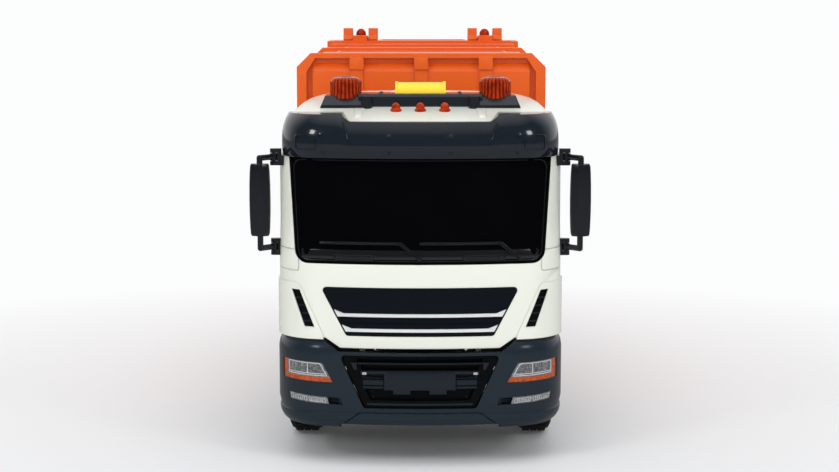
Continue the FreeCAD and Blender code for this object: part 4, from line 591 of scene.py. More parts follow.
for name in axles:
    for side, sign in sides:
        node = "tyre_" + name + "_" + side
        mesh = bmesh.new()
        for x0, x1 in bands(node):
            one = bmesh.new()
            tyre_mesh(one, x0, x1, axle_y[name], wheel_radius)
            joined_in(mesh, one)
        piece = settled(mesh, "rubber_" + name + "_" + side, tyre_rubber)
        fitted(piece, side + "_" + name + "_wheel", tyre_rubber.slot, node)


# Rims. Pale grey plastic discs with a ring of hand holes, a raised hub cap and ten wheel nuts,
# pressed on to the stub axles.
rim_plastic = moulded("rim_grey_plastic", "rim_grey", (168, 171, 174), 0.36, shift=0.04)
hub_depth = 3 * mm
hub_cap_radius = 4.2 * mm
hub_cap_height = 2.6 * mm
nut_count = 10
nut_circle = 7.8 * mm
nut_radius = 0.85 * mm
nut_root = 0.4 * mm
nut_length = 1.2 * mm


def pin(mesh, start, end, radius, segments=24, soft=0.0):
    """A closed rod between two places, its ends softened."""
    one = bmesh.new()
    along = end - start
    turn = along.to_track_quat("Z", "Y").to_matrix().to_4x4()
    matrix = Matrix.Translation((start + end) / 2) @ turn
    bmesh.ops.create_cone(
        one, cap_ends=True, cap_tris=False, segments=segments, radius1=radius, radius2=radius,
        depth=along.length, matrix=matrix,
    )
    if soft:
        ends = [face for face in one.faces if len(face.verts) == segments]
        rounded_off(one, list({edge for face in ends for edge in face.edges}), soft)
    joined_in(mesh, one)


for name in axles:
    for side, sign in sides:
        node = "rim_" + name + "_" + side
        skinned(node, "disc_" + name + "_" + side, rim_plastic)
        low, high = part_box(node)
        hub = Vector((low.x if sign < 0 else high.x, axle_y[name], wheel_radius))
        hub.x -= sign * hub_depth
        out = Vector((sign, 0, 0))
        mesh = bmesh.new()
        for index in range(nut_count):
            angle = math.tau * (index + 0.5) / nut_count
            nut = hub + Vector((0, math.cos(angle), math.sin(angle))) * nut_circle
            pin(mesh, nut - out * nut_root, nut + out * nut_length, nut_radius, 6, soft=0.15 * mm)
        pin(mesh, hub, hub + out * hub_cap_height, hub_cap_radius, 32, soft=0.4 * mm)
        detail(mesh, "nuts_" + name + "_" + side, side + "_" + name + "_wheel", rim_plastic)


# Side tanks, guards and mudguards. Black mouldings clipped to the rails: a round cornered fuel
# tank with straps and a cap on the left, a battery box with a lid on the right, two rail guards
# with reflectors, and the wheel arches.
satin_black = moulded("satin_black_plastic", "black_plastic", (24, 26, 30), 0.4, specular=0.35)
skinned("side_tanks", "fuel_tank_and_battery_box", satin_black)
skinned("side_guards", "guard_rails", satin_black)
skinned("front_mudguards", "front_wheel_arches", black_plastic)
skinned("rear_mudguards", "rear_wheel_arches", black_plastic)
strap_stations = (147, 184)
strap_width = 4.0
strap_inner_x = -36
strap_proud = 0.6 * mm
filler_place = (164, 47)
filler_face = -72
filler_grip_offsets = (-2.4, 0, 2.4)
box_catch_stations = (145, 172)
box_rib_stations = range(141, 184, 6)


def laid_on(node, side):
    """Places points in the same way on the face that a node shows to a side."""
    tree = BVHTree.FromBMesh(copied(node))
    begin, way = looks[side]

    def lay(u, v, height):
        return tree.ray_cast(begin(u, v), way)[0] - way * height * mm

    return lay


def plate(mesh, points, lay, proud, sunk=0.4, corner=0.0, soft=0.12, ring=0.0, pitch=6.0):
    """A closed plate, or a ring, of an outline that is laid on a face."""
    flat = bmesh.new()
    flat.faces.new([flat.verts.new((u, v, 0)) for u, v in points])
    if corner:
        rounded_off(flat, flat.verts[:], corner, affect="VERTICES", segments=4)
    if ring:
        inner = flat.faces[:]
        bmesh.ops.inset_region(
            flat, faces=inner, thickness=ring, use_even_offset=True, use_boundary=True,
        )
        bmesh.ops.delete(flat, geom=inner, context="FACES")
    raised(mesh, flat, lay, proud, sunk, soft, pitch)


def oblong(u0, v0, u1, v1):
    return [(u0, v0), (u1, v0), (u1, v1), (u0, v1)]


def strap(mesh, node, station, inner_x):
    """A band round the left part of a node, a little proud of it."""
    band = copied(node)
    cuts = (
        (at(0, station, 0), (0, -1, 0)), (at(0, station + strap_width, 0), (0, 1, 0)),
        (at(inner_x, 0, 0), (1, 0, 0)),
    )
    for place, normal in cuts:
        sliced(band, place, normal, clear=True)
    band.normal_update()
    ways = {vert: vert.normal.copy() for vert in band.verts}
    for vert in band.verts:
        vert.co += ways[vert] * strap_proud
    bmesh.ops.solidify(band, geom=band.faces[:], thickness=strap_proud * 2)
    joined_in(mesh, band)


mesh = bmesh.new()
for station in strap_stations:
    strap(mesh, "side_tanks", station, strap_inner_x)
lay = laid_on("side_tanks", "left")
stud(mesh, lay, *filler_place, radius=5.0, proud=0.6)
stud(mesh, lay, *filler_place, radius=4.2, proud=2.2, soft=0.5)
for offset in filler_grip_offsets:
    grip = oblong(161, 46.6 + offset, 167, 47.4 + offset)
    plate(mesh, grip, laid_flat("left", filler_face), proud=0.5)
lay = laid_on("side_tanks", "right")
plate(mesh, oblong(138.5, 50.6, 183.5, 54.6), lay, proud=0.6, soft=0.25)
for station in box_catch_stations:
    plate(mesh, oblong(station, 44.5, station + 4.5, 52.5), lay, proud=1.2, corner=0.8, soft=0.3)
for station in box_rib_stations:
    plate(mesh, oblong(station, 30, station + 1.6, 43), lay, proud=0.6, soft=0.2)
detail(mesh, "tank_straps_and_lid", "chassis", satin_black)

reflector = Finish("amber_reflector_plastic", "amber_lens")
reflector_cells = reflector.noise(0.9 * mm)
amber_reflector = reflector.shader({
    "Base Color": reflector.blend(from_screen(150, 60, 14), from_screen(240, 120, 30), reflector_cells),
    "Roughness": 0.14 + reflector_cells * 0.12,
    "Normal": reflector.bump(reflector_cells, 0.5, 0.1 * mm),
    "Coat Weight": 0.8,
    "Coat Roughness": 0.06,
})
guard_bolt_stations = (220, 292)
guard_bolt_levels = (30.2, 46.2)
guard_reflector = oblong(249, 44.9, 257, 47.6)
mesh = bmesh.new()
marks = bmesh.new()
for side, sign in sides:
    lay = laid_on("side_guards", side)
    for station in guard_bolt_stations:
        for level in guard_bolt_levels:
            stud(mesh, lay, station, level, radius=1.0, proud=0.5, soft=0.25)
    plate(marks, guard_reflector, lay, proud=0.6, corner=0.5, soft=0.2)
detail(mesh, "guard_bolts", "chassis", satin_black)
detail(marks, "side_reflectors", "chassis", amber_reflector)


# Bumper. One slate blue plastic moulding with the entry steps in its ends. The dark insert in its
# opening carries cross bars with clips, slats beside a blank plate and a low bar. The insert's
# near-black skin is partly painted shade, standing in for the shade in its slots and openings.
slate_plastic = moulded(
    "slate_bumper_plastic", "slate_plastic", (29, 39, 48), 0.22, shift=0.04, edge_radius=0.8 * mm,
    specular=0.3,
)
# Near-black with little gloss: the insert's dark plastic, and painted shade in its slots and openings.
insert_black_and_shade = moulded("insert_black_and_painted_shade", "slate_plastic", (6, 8, 11), 0.32, specular=0.1)
insert_slate = moulded("insert_slate_plastic", "slate_plastic", (24, 32, 39), 0.28, specular=0.3)
# The clips' pale silver paints the glints at the ends of the cross bar.
clip_painted_highlight = moulded("silver_clip_painted_highlight", "chrome_strip", (165, 170, 174), 0.3, shift=0.03)
skinned("bumper", "bumper_moulding", slate_plastic)
skinned("bumper_grille", "bumper_insert", insert_black_and_shade)
top_bar = oblong(-35.6, 56.5, 35.6, 57.3)
cross_bar = oblong(-31.6, 51.3, 31.6, 52.9)
cross_bar_face = 1.5
low_bar = oblong(-28.3, 34.2, 28.3, 35.4)
bar_bracket = [(36.9, 57.5), (33.6, 57.5), (33.6, 53.6), (35.0, 53.6)]
bracket_face = 2.6
bar_clip_glint = oblong(28.4, 51.2, 30.8, 52.5)
clip_face = 1.2
insert_slats = ((43.4, 44.6), (45.3, 48.1), (48.9, 50.7))
insert_screws = ((25.6, 41.0), (25.0, 38.2))
blank_plate = [(19.1, 52.1), (19.1, 42.8), (14.2, 42.8), (14.2, 40.6), (5.1, 40.6), (5.1, 42.8)]
blank_plate += [(-x, level) for x, level in reversed(blank_plate)]


def facing(sign, points):
    """An outline drawn for the right side, on the side of that sign."""
    return [(x * sign, v) for x, v in points]


def plate_pair(mesh, points, lay, **sizes):
    """A plate drawn for the right side, and its mirror image on the left."""
    for side, sign in sides:
        plate(mesh, facing(sign, points), lay, **sizes)


def stud_pair(mesh, lay, x, v, **sizes):
    for side, sign in sides:
        stud(mesh, lay, x * sign, v, **sizes)


lay = laid_on("bumper_grille", "front")
mesh = bmesh.new()
glint_clips = bmesh.new()
plate(mesh, top_bar, lay, proud=0.5, soft=0.25)
plate(mesh, cross_bar, laid_flat("front", cross_bar_face), proud=0.3, sunk=2.0, soft=0.3)
plate(mesh, low_bar, lay, proud=0.4, soft=0.3)
plate_pair(mesh, bar_bracket, laid_flat("front", bracket_face), proud=1.0, sunk=3.0, soft=0.3)
plate_pair(glint_clips, bar_clip_glint, laid_flat("front", clip_face), proud=0.4, sunk=0.3, corner=0.4)
for low, high in insert_slats:
    plate_pair(mesh, oblong(19.4, low, 30.4, high), lay, proud=0.6, sunk=1.0, soft=0.2)
plate(mesh, blank_plate, lay, proud=0.3, soft=0.15)
for x, level in insert_screws:
    stud_pair(mesh, lay, x, level, radius=0.55, proud=0.5, soft=0.15)
detail(mesh, "insert_bars", "chassis", insert_slate)
detail(glint_clips, "insert_clip_highlights", "chassis", clip_painted_highlight)

# The lower lamps stand in a recess whose inner end is closed by a moulded mesh, with painted
# shade behind the mesh. The entry steps in the bumper's ends have four treads each.
mesh_bar_count = 5
mesh_bar_pitch = 1.25
mesh_bar = [(43.6, 34.6), (44.0, 34.6), (44.9, 37.4), (44.5, 37.4)]
mesh_levels = (35.4, 36.5)
step_levels = (34.2, 50.2)
tread_stations = (35.6, 38.6, 41.6, 44.6)
lamp_recess_shade = [(43.4, 34.4), (49.3, 34.4), (49.3, 37.5), (44.4, 37.5)]
corner_seam_shadow = [(31.9, 30.3), (32.7, 30.3), (40.1, 24.9), (39.1, 24.9)]
mesh = bmesh.new()
lay = laid_on("bumper", "front")
for index in range(mesh_bar_count):
    bar = [(x + index * mesh_bar_pitch, level) for x, level in mesh_bar]
    plate_pair(mesh, bar, lay, proud=0.45, soft=0.1)
for level in mesh_levels:
    plate_pair(mesh, oblong(43.4, level, 49.2, level + 0.35), lay, proud=0.35, soft=0.08)
for side, sign in sides:
    step_lay = laid_on("bumper", side)
    for level in step_levels:
        for station in tread_stations:
            tread = oblong(station, level, station + 1.2, level + 3.4)
            plate(mesh, tread, step_lay, proud=0.3, soft=0.1)
detail(mesh, "bumper_mesh_and_treads", "chassis", slate_plastic)
# Thin near-black plates paint the shade in the lower lamps' recesses and the shadow in the grooves of
# the corner seams.
mesh = bmesh.new()
plate_pair(mesh, lamp_recess_shade, lay, proud=0.12, soft=0.05)
plate_pair(mesh, corner_seam_shadow, lay, proud=0.05, soft=0.02, pitch=2.0)
detail(mesh, "bumper_recess_and_seam_shade", "chassis", insert_black_and_shade)


# Headlamps. Clear moulded lenses with a pale frame over two dark streaked chambers, an amber
# border let in along the outer side and below, and a twin lower lamp under each.
clear = Finish("clear_lamp_plastic", "clear_lens")
clear_fine = clear.noise(1.4 * mm, detail=3.0)
clear_wide = clear.noise(6 * mm, detail=3.0)
clear_edge, _ = clear.edges(0.4 * mm)
clear_lens = clear.shader({
    "Base Color": clear.blend((0.08, 0.082, 0.085), (0.34, 0.345, 0.35), clear_fine.clipped(0.3, 0.7)),
    "Roughness": 0.14 + clear_wide * 0.2,
    "Metallic": clear_fine * 0.4,
    "Normal": clear.bump(clear_fine, 0.4, 0.2 * mm, clear_edge),
    "Coat Weight": 0.5,
    "Coat Roughness": 0.05,
})
frame_pale = moulded("pale_lamp_frame_plastic", "clear_lens", (196, 199, 201), 0.25, shift=0.03)
chamber = Finish("dark_lamp_chamber", "clear_lens")
chamber_streak = chamber.noise(1.1 * mm, detail=3.0, where=chamber.place((1.0, 1.0, 2.5)))
chamber_spot = chamber.noise(4 * mm)
lamp_chamber = chamber.shader({
    "Base Color": chamber.blend(
        from_screen(34, 35, 38), from_screen(150, 152, 154),
        (chamber_streak * 0.7 + chamber_spot * 0.3).clipped(0.34, 0.66),
    ),
    "Roughness": 0.16 + chamber_streak * 0.2,
    "Metallic": chamber_spot * 0.7,
    "Normal": chamber.bump(chamber_streak, 0.6, 0.3 * mm),
    "Coat Weight": 0.4,
    "Coat Roughness": 0.05,
})


def tinted_lens(name, slot, bright, deep):
    lamp = Finish(name, slot)
    fine = lamp.noise(1.6 * mm, detail=3.0)
    rounded, _ = lamp.edges(0.4 * mm)
    return lamp.shader({
        "Base Color": lamp.blend(from_screen(*deep), from_screen(*bright), fine.clipped(0.2, 0.8)),
        "Roughness": 0.15 + fine * 0.1,
        "Normal": lamp.bump(fine, 0.4, 0.1 * mm, rounded),
        "Coat Weight": 0.3,
        "Coat Roughness": 0.05,
    })


amber_lens = tinted_lens("amber_lamp_plastic", "amber_lens", (214, 90, 26), (128, 46, 14))
skinned("headlights", "headlamp_lenses", clear_lens)
skinned("indicators", "indicator_borders", amber_lens)
lens_frame = [(70.9, 56.4), (53.4, 56.4), (49.4, 49.4), (70.9, 49.4)]
lens_divider = oblong(60.1, 50.6, 60.6, 55.8)
lens_sill = oblong(50.9, 50.4, 70.2, 50.8)
outer_chamber = [(70.0, 55.6), (60.8, 55.6), (60.8, 51.1), (70.0, 51.1)]
inner_chamber = [(59.9, 55.6), (53.9, 55.6), (51.5, 51.1), (59.9, 51.1)]
lower_lamp_x = 70.0
lower_lamp_spread = 19.5
lower_lamp_shares = (0.0, 0.52)
lower_lamp = ((0, 38.2, 0.9), (-9.0, 37.8, 1), (-9.4, 35.5, 1), (-0.4, 35.9, 0.9))
flute_count = 7
flute_start = 1.3
flute_pitch = 1.05
flute_width = 0.35
flute_foot = 36.0
flute_head = 37.4
lay = laid_on("headlights", "front")
mesh = bmesh.new()
frames = bmesh.new()
plate_pair(frames, lens_frame, lay, proud=0.3, corner=0.7, ring=0.45)
plate_pair(frames, lens_divider, lay, proud=0.3)
plate_pair(frames, lens_sill, lay, proud=0.25)
for outline in (outer_chamber, inner_chamber):
    plate_pair(mesh, outline, lay, proud=0.12, corner=0.5, soft=0.1)
for share in lower_lamp_shares:
    x = lower_lamp_x - lower_lamp_spread * share
    lower = [(x + u, level - share * fall) for u, level, fall in lower_lamp]
    plate_pair(frames, lower, lay, proud=0.2, corner=0.4, ring=0.25)
    for index in range(flute_count):
        u = x - flute_start - index * flute_pitch
        flute = oblong(u, flute_foot - share, u - flute_width, flute_head - share)
        plate_pair(frames, flute, lay, proud=0.15, soft=0.06)
detail(mesh, "lamp_chambers", "chassis", lamp_chamber)
detail(frames, "lamp_frames", "chassis", frame_pale)


# Cab. Ivory plastic in one hollow moulding, with panel seams at the pillar feet, deflectors at
# the corners and openings for the doors and the windscreen. Raised panels and a roof hatch are
# moulded on, and two black hand rails stand behind the doors.
cab_plastic = moulded(
    "ivory_cab_plastic", "cab_white", (229, 231, 220), 0.33, edge_radius=0.9 * mm, shift=0.015,
    edge_wear_and_highlight=0.05, coat=0.2, coat_roughness=0.18, specular=0.45,
)
skinned("cab_shell", "cab_moulding", cab_plastic)
skinned("mirror_brackets", "mirror_bracket_lugs", satin_black)
roof_ridge = [(31.6, 27), (35.4, 27), (36.6, 50), (30.4, 50)]
hatch_frame = oblong(-19, 90, 19, 122)
hatch_lid = oblong(-15.5, 93.5, 15.5, 118.5)
back_panel = oblong(-58, 92, 58, 158)
quarter_panel = oblong(107, 80, 130, 158)
quarter_slot_levels = (88, 94, 100, 106)
hand_rail_station = 103.6
hand_rail_feet = (96, 128)
hand_rail_ends = (94.5, 129.5)
hand_rail_inset = 13.2
mesh = bmesh.new()
lay = laid_on("cab_shell", "top")
plate_pair(mesh, roof_ridge, lay, proud=0.45, corner=1.2, soft=0.4)
plate(mesh, hatch_frame, lay, proud=0.6, corner=3.0, soft=0.45, ring=1.6)
plate(mesh, hatch_lid, lay, proud=0.5, corner=2.0, soft=0.45)
plate(mesh, back_panel, laid_on("cab_shell", "back"), proud=0.5, corner=4.0, soft=0.4, ring=1.8)
for side, sign in sides:
    lay = laid_on("cab_shell", side)
    plate(mesh, quarter_panel, lay, proud=0.4, corner=3.0, soft=0.3, ring=1.2)
    for level in quarter_slot_levels:
        plate(mesh, oblong(111, level, 126, level + 2.4), lay, proud=0.5, corner=0.8, soft=0.3)
detail(mesh, "cab_raised_panels", "cab", cab_plastic)

# The balls that close a pipe's bends and ends are a little thicker than the pipe.
pipe_swell = 1.04


def pipe(mesh, places, radius):
    """A bent rod through several places, with a ball at each bend and end."""
    for start, end in zip(places, places[1:]):
        pin(mesh, start, end, radius, segments=16)
    for place in places:
        one = bmesh.new()
        bmesh.ops.create_uvsphere(
            one, u_segments=16, v_segments=10, radius=radius * pipe_swell,
            matrix=Matrix.Translation(place),
        )
        joined_in(mesh, one)


mesh = bmesh.new()
for side, sign in sides:
    lay = laid_on("cab_shell", side)
    for level in hand_rail_feet:
        stud(mesh, lay, hand_rail_station, level, radius=1.3, proud=3.0, soft=0.3)
    x = (cad_box[1].x / mm - hand_rail_inset) * sign
    pipe(mesh, [at(x, hand_rail_station, level) for level in hand_rail_ends], 1.0 * mm)
detail(mesh, "cab_hand_rails", "cab", satin_black)

# The doors hang on pins at their front edges. Each has a pull handle in a shallow tray, a lock,
# two creases under the window and a rubber seal round the glass.
seal_black = moulded("window_seal_rubber", "black_plastic", (22, 23, 25), 0.5, specular=0.3)
door_tray = oblong(83.5, 97.4, 98.0, 104.4)
door_handle = oblong(85.2, 99.4, 96.4, 102.2)
door_lock = (94.2, 95.0)
upper_crease = oblong(43.5, 88.6, 98.5, 89.8)
lower_crease = oblong(43.5, 76.5, 98.5, 77.5)
door_window = [(44.6, 117.5), (44.6, 156.9), (96.4, 156.9), (96.4, 110.1), (63.9, 110.1)]
door_window_inset = 15.5
for side, sign in sides:
    skinned("door_" + side, "door_panel_" + side, cab_plastic)
    lay = laid_on("door_" + side, side)
    mesh = bmesh.new()
    plate(mesh, door_tray, lay, proud=0.35, corner=1.6, soft=0.2, ring=0.8)
    plate(mesh, upper_crease, lay, proud=0.35, soft=0.3)
    plate(mesh, lower_crease, lay, proud=0.3, soft=0.25)
    detail(mesh, "door_tray_" + side, side + "_door", cab_plastic)
    mesh = bmesh.new()
    plate(mesh, door_handle, lay, proud=1.3, corner=1.0, soft=0.5)
    stud(mesh, lay, *door_lock, radius=1.0, proud=0.35, soft=0.15)
    window_lay = laid_flat(side, (cad_box[1].x / mm - door_window_inset) * sign)
    plate(mesh, door_window, window_lay, proud=0.25, sunk=0.6, corner=2.6, soft=0.2, ring=1.5)
    detail(mesh, "door_handle_and_seal_" + side, side + "_door", seal_black)


# Windscreen and side glass. Dark tinted panels clipped in from behind. The windscreen has a
# moulded bead inside its edge, and a cowl with two air slots along its foot.
smoked = Finish("smoked_glass", "tinted_glass")
smoked_cloud = smoked.noise(50 * mm, detail=3.0)
smoked_glass = smoked.shader({
    "Base Color": smoked.blend((0.0008, 0.0008, 0.0012), (0.0022, 0.0022, 0.003), smoked_cloud),
    "Roughness": 0.10 + smoked_cloud * 0.08,
    "Normal": smoked.bump(smoked_cloud, 0.05, 0.1 * mm),
    "Specular IOR Level": 0.05,
})
skinned("windscreen", "windscreen_pane", smoked_glass)
for side, sign in sides:
    skinned("door_glass_" + side, "door_pane_" + side, smoked_glass)
cowl_black = moulded(
    "cowl_black_plastic", "black_plastic", (12, 14, 17), 0.16, specular=0.8, edge_radius=0.3 * mm,
)
screen_bead = [(-68.4, 164.6), (68.4, 164.6), (64.9, 111.4), (-64.9, 111.4)]
screen_cowl = [(-63.6, 117.3), (63.6, 117.3), (62.8, 112.4), (-62.8, 112.4)]
cowl_slots = ((-46.0, -24.2), (22.5, 45.5))
lay = laid_on("windscreen", "front")
mesh = bmesh.new()
plate(mesh, screen_bead, lay, proud=0.15, corner=5.0, soft=0.08, ring=0.5)
plate(mesh, screen_cowl, lay, proud=0.12, corner=1.0, soft=0.08)
detail(mesh, "windscreen_bead_and_cowl", "cab", cowl_black, slot="tinted_glass")
mesh = bmesh.new()
for start, end in cowl_slots:
    plate(mesh, oblong(start, 111.9, end, 114.9), lay, proud=0.55, corner=1.45, soft=0.2, ring=0.6)
    plate(mesh, oblong(start + 1.8, 112.9, end - 1.8, 113.8), lay, proud=0.35, corner=0.4, soft=0.1)
detail(mesh, "cowl_air_slots", "cab", satin_black, slot="tinted_glass")


# Front panel trim. A dark grille insert with slats and two bright strips, slotted vents in the
# corner deflectors, and two black wipers moulded against the glass.
grille_black = moulded(
    "grille_black_plastic", "slate_plastic", (11, 17, 23), 0.22, specular=0.1, grain_depth=0.005 * mm,
)
chrome = Finish("bright_strip_foil", "chrome_strip")
chrome_fine = chrome.noise(0.8 * mm, where=chrome.place((0.1, 1, 1)))
chrome_edge, chrome_rim = chrome.edges(0.4 * mm)
bright_strip = chrome.shader({
    "Base Color": chrome.blend((0.78, 0.785, 0.79), (0.94, 0.945, 0.95), chrome_fine),
    "Metallic": 0.3 + chrome_rim * 0.1,
    "Roughness": 0.3 + chrome_fine * 0.14,
    "Normal": chrome.bump(chrome_fine, 0.2, 0.03 * mm, chrome_edge),
})
skinned("front_grille", "grille_insert", grille_black)
skinned("grille_chrome", "grille_bright_strips", bright_strip)
# The vents' near-black skin paints the shade behind their slats.
skinned("corner_vents", "corner_vent_inserts", insert_black_and_shade, slot="black_plastic")
skinned("wipers", "wiper_arms", cowl_black)
grille_slats = ((76.1, 78.1, 41.2), (78.7, 80.9, 42.4), (71.9, 73.1, 38.9))
vent_top = 95.4
vent_inner_x = 64.4
vent_outer_x = 68.7
vent_inner_lean = 0.404
vent_outer_lean = 0.3535
vent_slat_levels = (91.4, 87.3, 83.2, 79.1)
wiper_middles = (-32.4, 20.9)
wiper_level = 121
wiper_pivot_offset = 32.2
wiper_pivot_level = 112.9
lay = laid_on("front_grille", "front")
mesh = bmesh.new()
for low, high, half in grille_slats:
    plate(mesh, oblong(-half, low, half, high), lay, proud=0.5, soft=0.3)
detail(mesh, "grille_slats", "cab", grille_black)
lay = laid_on("corner_vents", "front")
mesh = bmesh.new()
for level in vent_slat_levels:
    inner = vent_inner_x - (vent_top - level) * vent_inner_lean
    outer = vent_outer_x - (vent_top - level) * vent_outer_lean
    slat = [(inner + 0.3, level), (outer - 0.3, level - 0.3), (outer - 0.5, level - 1.0),
            (inner, level - 0.7)]
    plate_pair(mesh, slat, lay, proud=0.5, soft=0.15)
detail(mesh, "corner_vent_slats", "cab", insert_slate)
lay = laid_on("wipers", "front")
mesh = bmesh.new()
for x in wiper_middles:
    blade = oblong(x - 20.8, wiper_level - 0.3, x + 20.8, wiper_level + 0.3)
    clasp = oblong(x - 2.2, wiper_level - 0.6, x + 2.2, wiper_level + 0.6)
    plate(mesh, blade, lay, proud=0.45, soft=0.2)
    plate(mesh, clasp, lay, proud=0.8, soft=0.3)
    stud(
        mesh, laid_on("windscreen", "front"), x + wiper_pivot_offset, wiper_pivot_level,
        radius=0.8, proud=1.9, soft=0.3,
    )
detail(mesh, "wiper_blades", "cab", cowl_black)


# Sun visor. A glossy blue black cowl across the whole roof edge, with a raised bump at each end,
# blanked lamp places and the bosses of its screws.
visor_plastic = moulded(
    "gloss_visor_plastic", "visor_black", (19, 27, 35), 0.18, edge_radius=1.2 * mm, shift=0.05,
    grain_depth=0.003 * mm, coat=0.6, coat_roughness=0.05, edge_wear_and_highlight=0.04, specular=0.25,
)
skinned("visor", "sun_visor", visor_plastic)
visor_blank = oblong(55.2, 169.8, 66.8, 178.2)
bump_crease_width = 0.75
bump_crease = [(41.6, 185.6), (39.7, 181.2), (38.6, 177.3), (37.1, 172.6)]
bump_crease += [(x - bump_crease_width, level) for x, level in reversed(bump_crease)]
visor_bosses = ((52.2, 178.4, 1.45), (51.6, 168.6, 0.8), (16.3, 177.3, 1.5), (16.3, 168.6, 0.8))
lay = laid_on("visor", "front")
mesh = bmesh.new()
plate_pair(mesh, visor_blank, lay, proud=0.6, corner=1.3, soft=0.25, ring=0.6, pitch=3.0)
plate_pair(mesh, bump_crease, lay, proud=0.5, soft=0.3, pitch=1.5)
for x, level, radius in visor_bosses:
    stud_pair(mesh, lay, x, level, radius=radius, proud=0.45, soft=0.2)
    stud_pair(mesh, lay, x, level, radius=radius * 0.5, proud=0.7, soft=0.15)
detail(mesh, "visor_bosses", "cab", visor_plastic)


# Roof bar. The same glossy plastic, carrying two amber beacons and the yellow button that starts
# the sound, with three small marker lamps on the roof in front. The gaps between the ribs of the
# two beacons' drums are painted shade: dark stripes in the finish.
beacon_x = 41.5
beacon_station = 64
beacon_ribs = 24
drum_reach = (10 * mm, 11 * mm)
beacon = Finish("amber_beacon_plastic", "amber_lens")
beacon_cloud = beacon.noise(4 * mm, detail=3.0)
beacon_edge, _ = beacon.edges(0.5 * mm)
beacon_place = beacon.place()
beacon_across = beacon.maths("ABSOLUTE", beacon.axis(beacon_place, "X")) - beacon_x * mm
beacon_along = beacon.axis(beacon_place, "Y") - (front + beacon_station * mm)
beacon_turn = beacon.maths("ARCTAN2", beacon_along, beacon_across)
from_drum = beacon_across * beacon_across + beacon_along * beacon_along
drum_mask = 1 - from_drum.clipped(*[reach ** 2 for reach in drum_reach])
# Painted shade darkens the valleys between the drums' ribs.
drum_gap_painted_shade = beacon.maths("COSINE", beacon_turn * beacon_ribs).clipped(-0.4, 0.8) * drum_mask
beacon_tone = beacon.blend(
    from_screen(206, 66, 18), from_screen(150, 34, 8), beacon_cloud.clipped(0.3, 0.7),
)
beacon_lens = beacon.shader({
    "Base Color": beacon.blend(beacon_tone, from_screen(74, 12, 3), drum_gap_painted_shade * 0.85),
    "Roughness": 0.12 + beacon_cloud * 0.08,
    "Transmission Weight": 0.1,
    "IOR": 1.3,
    "Normal": beacon.bump(beacon_cloud, 0.2, 0.2 * mm, beacon_edge),
    "Coat Weight": 0.1,
    "Coat Roughness": 0.05,
    "Specular IOR Level": 0.3,
})
button_plastic = moulded(
    "yellow_button_plastic", "button_yellow", (252, 220, 58), 0.34, shift=0.03, edge_wear_and_highlight=0.04, specular=0.4,
)
skinned("light_bar", "roof_bar", visor_plastic)
skinned("roof_lamps", "roof_beacons", beacon_lens)
skinned("push_button", "sound_button", button_plastic)
bar_screw_x = 22
bar_screw_stations = (57, 73)
lay = laid_on("roof_lamps", "top")
mesh = bmesh.new()
stud_pair(mesh, lay, beacon_x, beacon_station, radius=3.0, proud=0.3, soft=0.2, segments=28)
detail(mesh, "beacon_caps", "cab", beacon_lens)
lay = laid_on("light_bar", "top")
mesh = bmesh.new()
for station in bar_screw_stations:
    stud_pair(mesh, lay, bar_screw_x, station, radius=1.2, proud=0.35, soft=0.2)
    stud_pair(mesh, lay, bar_screw_x, station, radius=0.6, proud=0.55, soft=0.15, segments=6)
detail(mesh, "roof_bar_screws", "cab", visor_plastic)


# Cab inside. Grey mouldings that show only through the open doors: a dashboard with its steering
# wheel, and two block seats with padded fronts.
inside_grey = moulded("cab_inside_plastic", "interior_grey", (70, 72, 76), 0.6)
skinned("dashboard", "dashboard_moulding", inside_grey)
skinned("seats", "seat_mouldings", inside_grey)
seat_pad = oblong(21, 103, 51, 137)
mesh = bmesh.new()
plate_pair(mesh, seat_pad, laid_on("seats", "front"), proud=1.2, corner=4.0, soft=0.9)
detail(mesh, "seat_pads", "cab", inside_grey)


# Mirrors. Black housings on two bent arms, sprung into lugs at the cab's pillars, with a bright
# glass let into the back.
mirror_plastic = moulded("mirror_black_plastic", "black_plastic", (19, 22, 27), 0.24, specular=0.4)
silvered = Finish("silvered_mirror_glass", "chrome_strip")
silvered_haze = silvered.noise(10 * mm)
mirror_glass = silvered.shader({
    "Base Color": silvered.blend((0.72, 0.74, 0.76), (0.84, 0.86, 0.88), silvered_haze),
    "Metallic": 1.0,
    "Roughness": 0.04 + silvered_haze * 0.06,
    "Normal": silvered.bump(silvered_haze, 0.1, 0.05 * mm),
})
mirror_frame = oblong(82.4, 124.5, 90.4, 159.5)
mirror_pane = oblong(83.2, 125.3, 89.6, 158.7)
for side, sign in sides:
    skinned("mirror_" + side, "mirror_housing_" + side, mirror_plastic)
    lay = laid_on("mirror_" + side, "back")
    mesh = bmesh.new()
    plate(mesh, facing(sign, mirror_frame), lay, proud=0.5, corner=1.6, ring=0.9)
    detail(mesh, "mirror_frame_" + side, side + "_mirror", mirror_plastic)
    mesh = bmesh.new()
    plate(mesh, facing(sign, mirror_pane), lay, proud=0.2, corner=1.0, soft=0.05)
    detail(mesh, "mirror_pane_" + side, side + "_mirror", mirror_glass)


# Refuse body. An orange plastic box with a raised rim and capped ribs on its front, hoops over
# its back and a heavy frame at the tailgate. Its walls carry beads in each bay and a riveted
# sill. The push plate slides inside it.
# The orange's large edge share paints pale highlights along the edges of its rim and ribs, over a
# little wear.
orange_plastic = moulded(
    "orange_body_plastic", "orange_plastic", (232, 95, 12), 0.34, edge_radius=0.7 * mm, shift=0.03,
    edge_wear_and_highlight=0.3, coat=0.15, coat_roughness=0.25, specular=0.4,
)
rib_inner_x = 27.7 * mm
rib_outer_x = 35.9 * mm
rib_back = front + 166 * mm
rib_shift = 7.6 * mm
rib_middles = (-39.4, 0, 39.4)
rib_cap_face = 160
bays = ((167, 280), (290, 379), (389, 440))
rivet_pitch = 12
body_reflector_stations = (192, 334, 414)

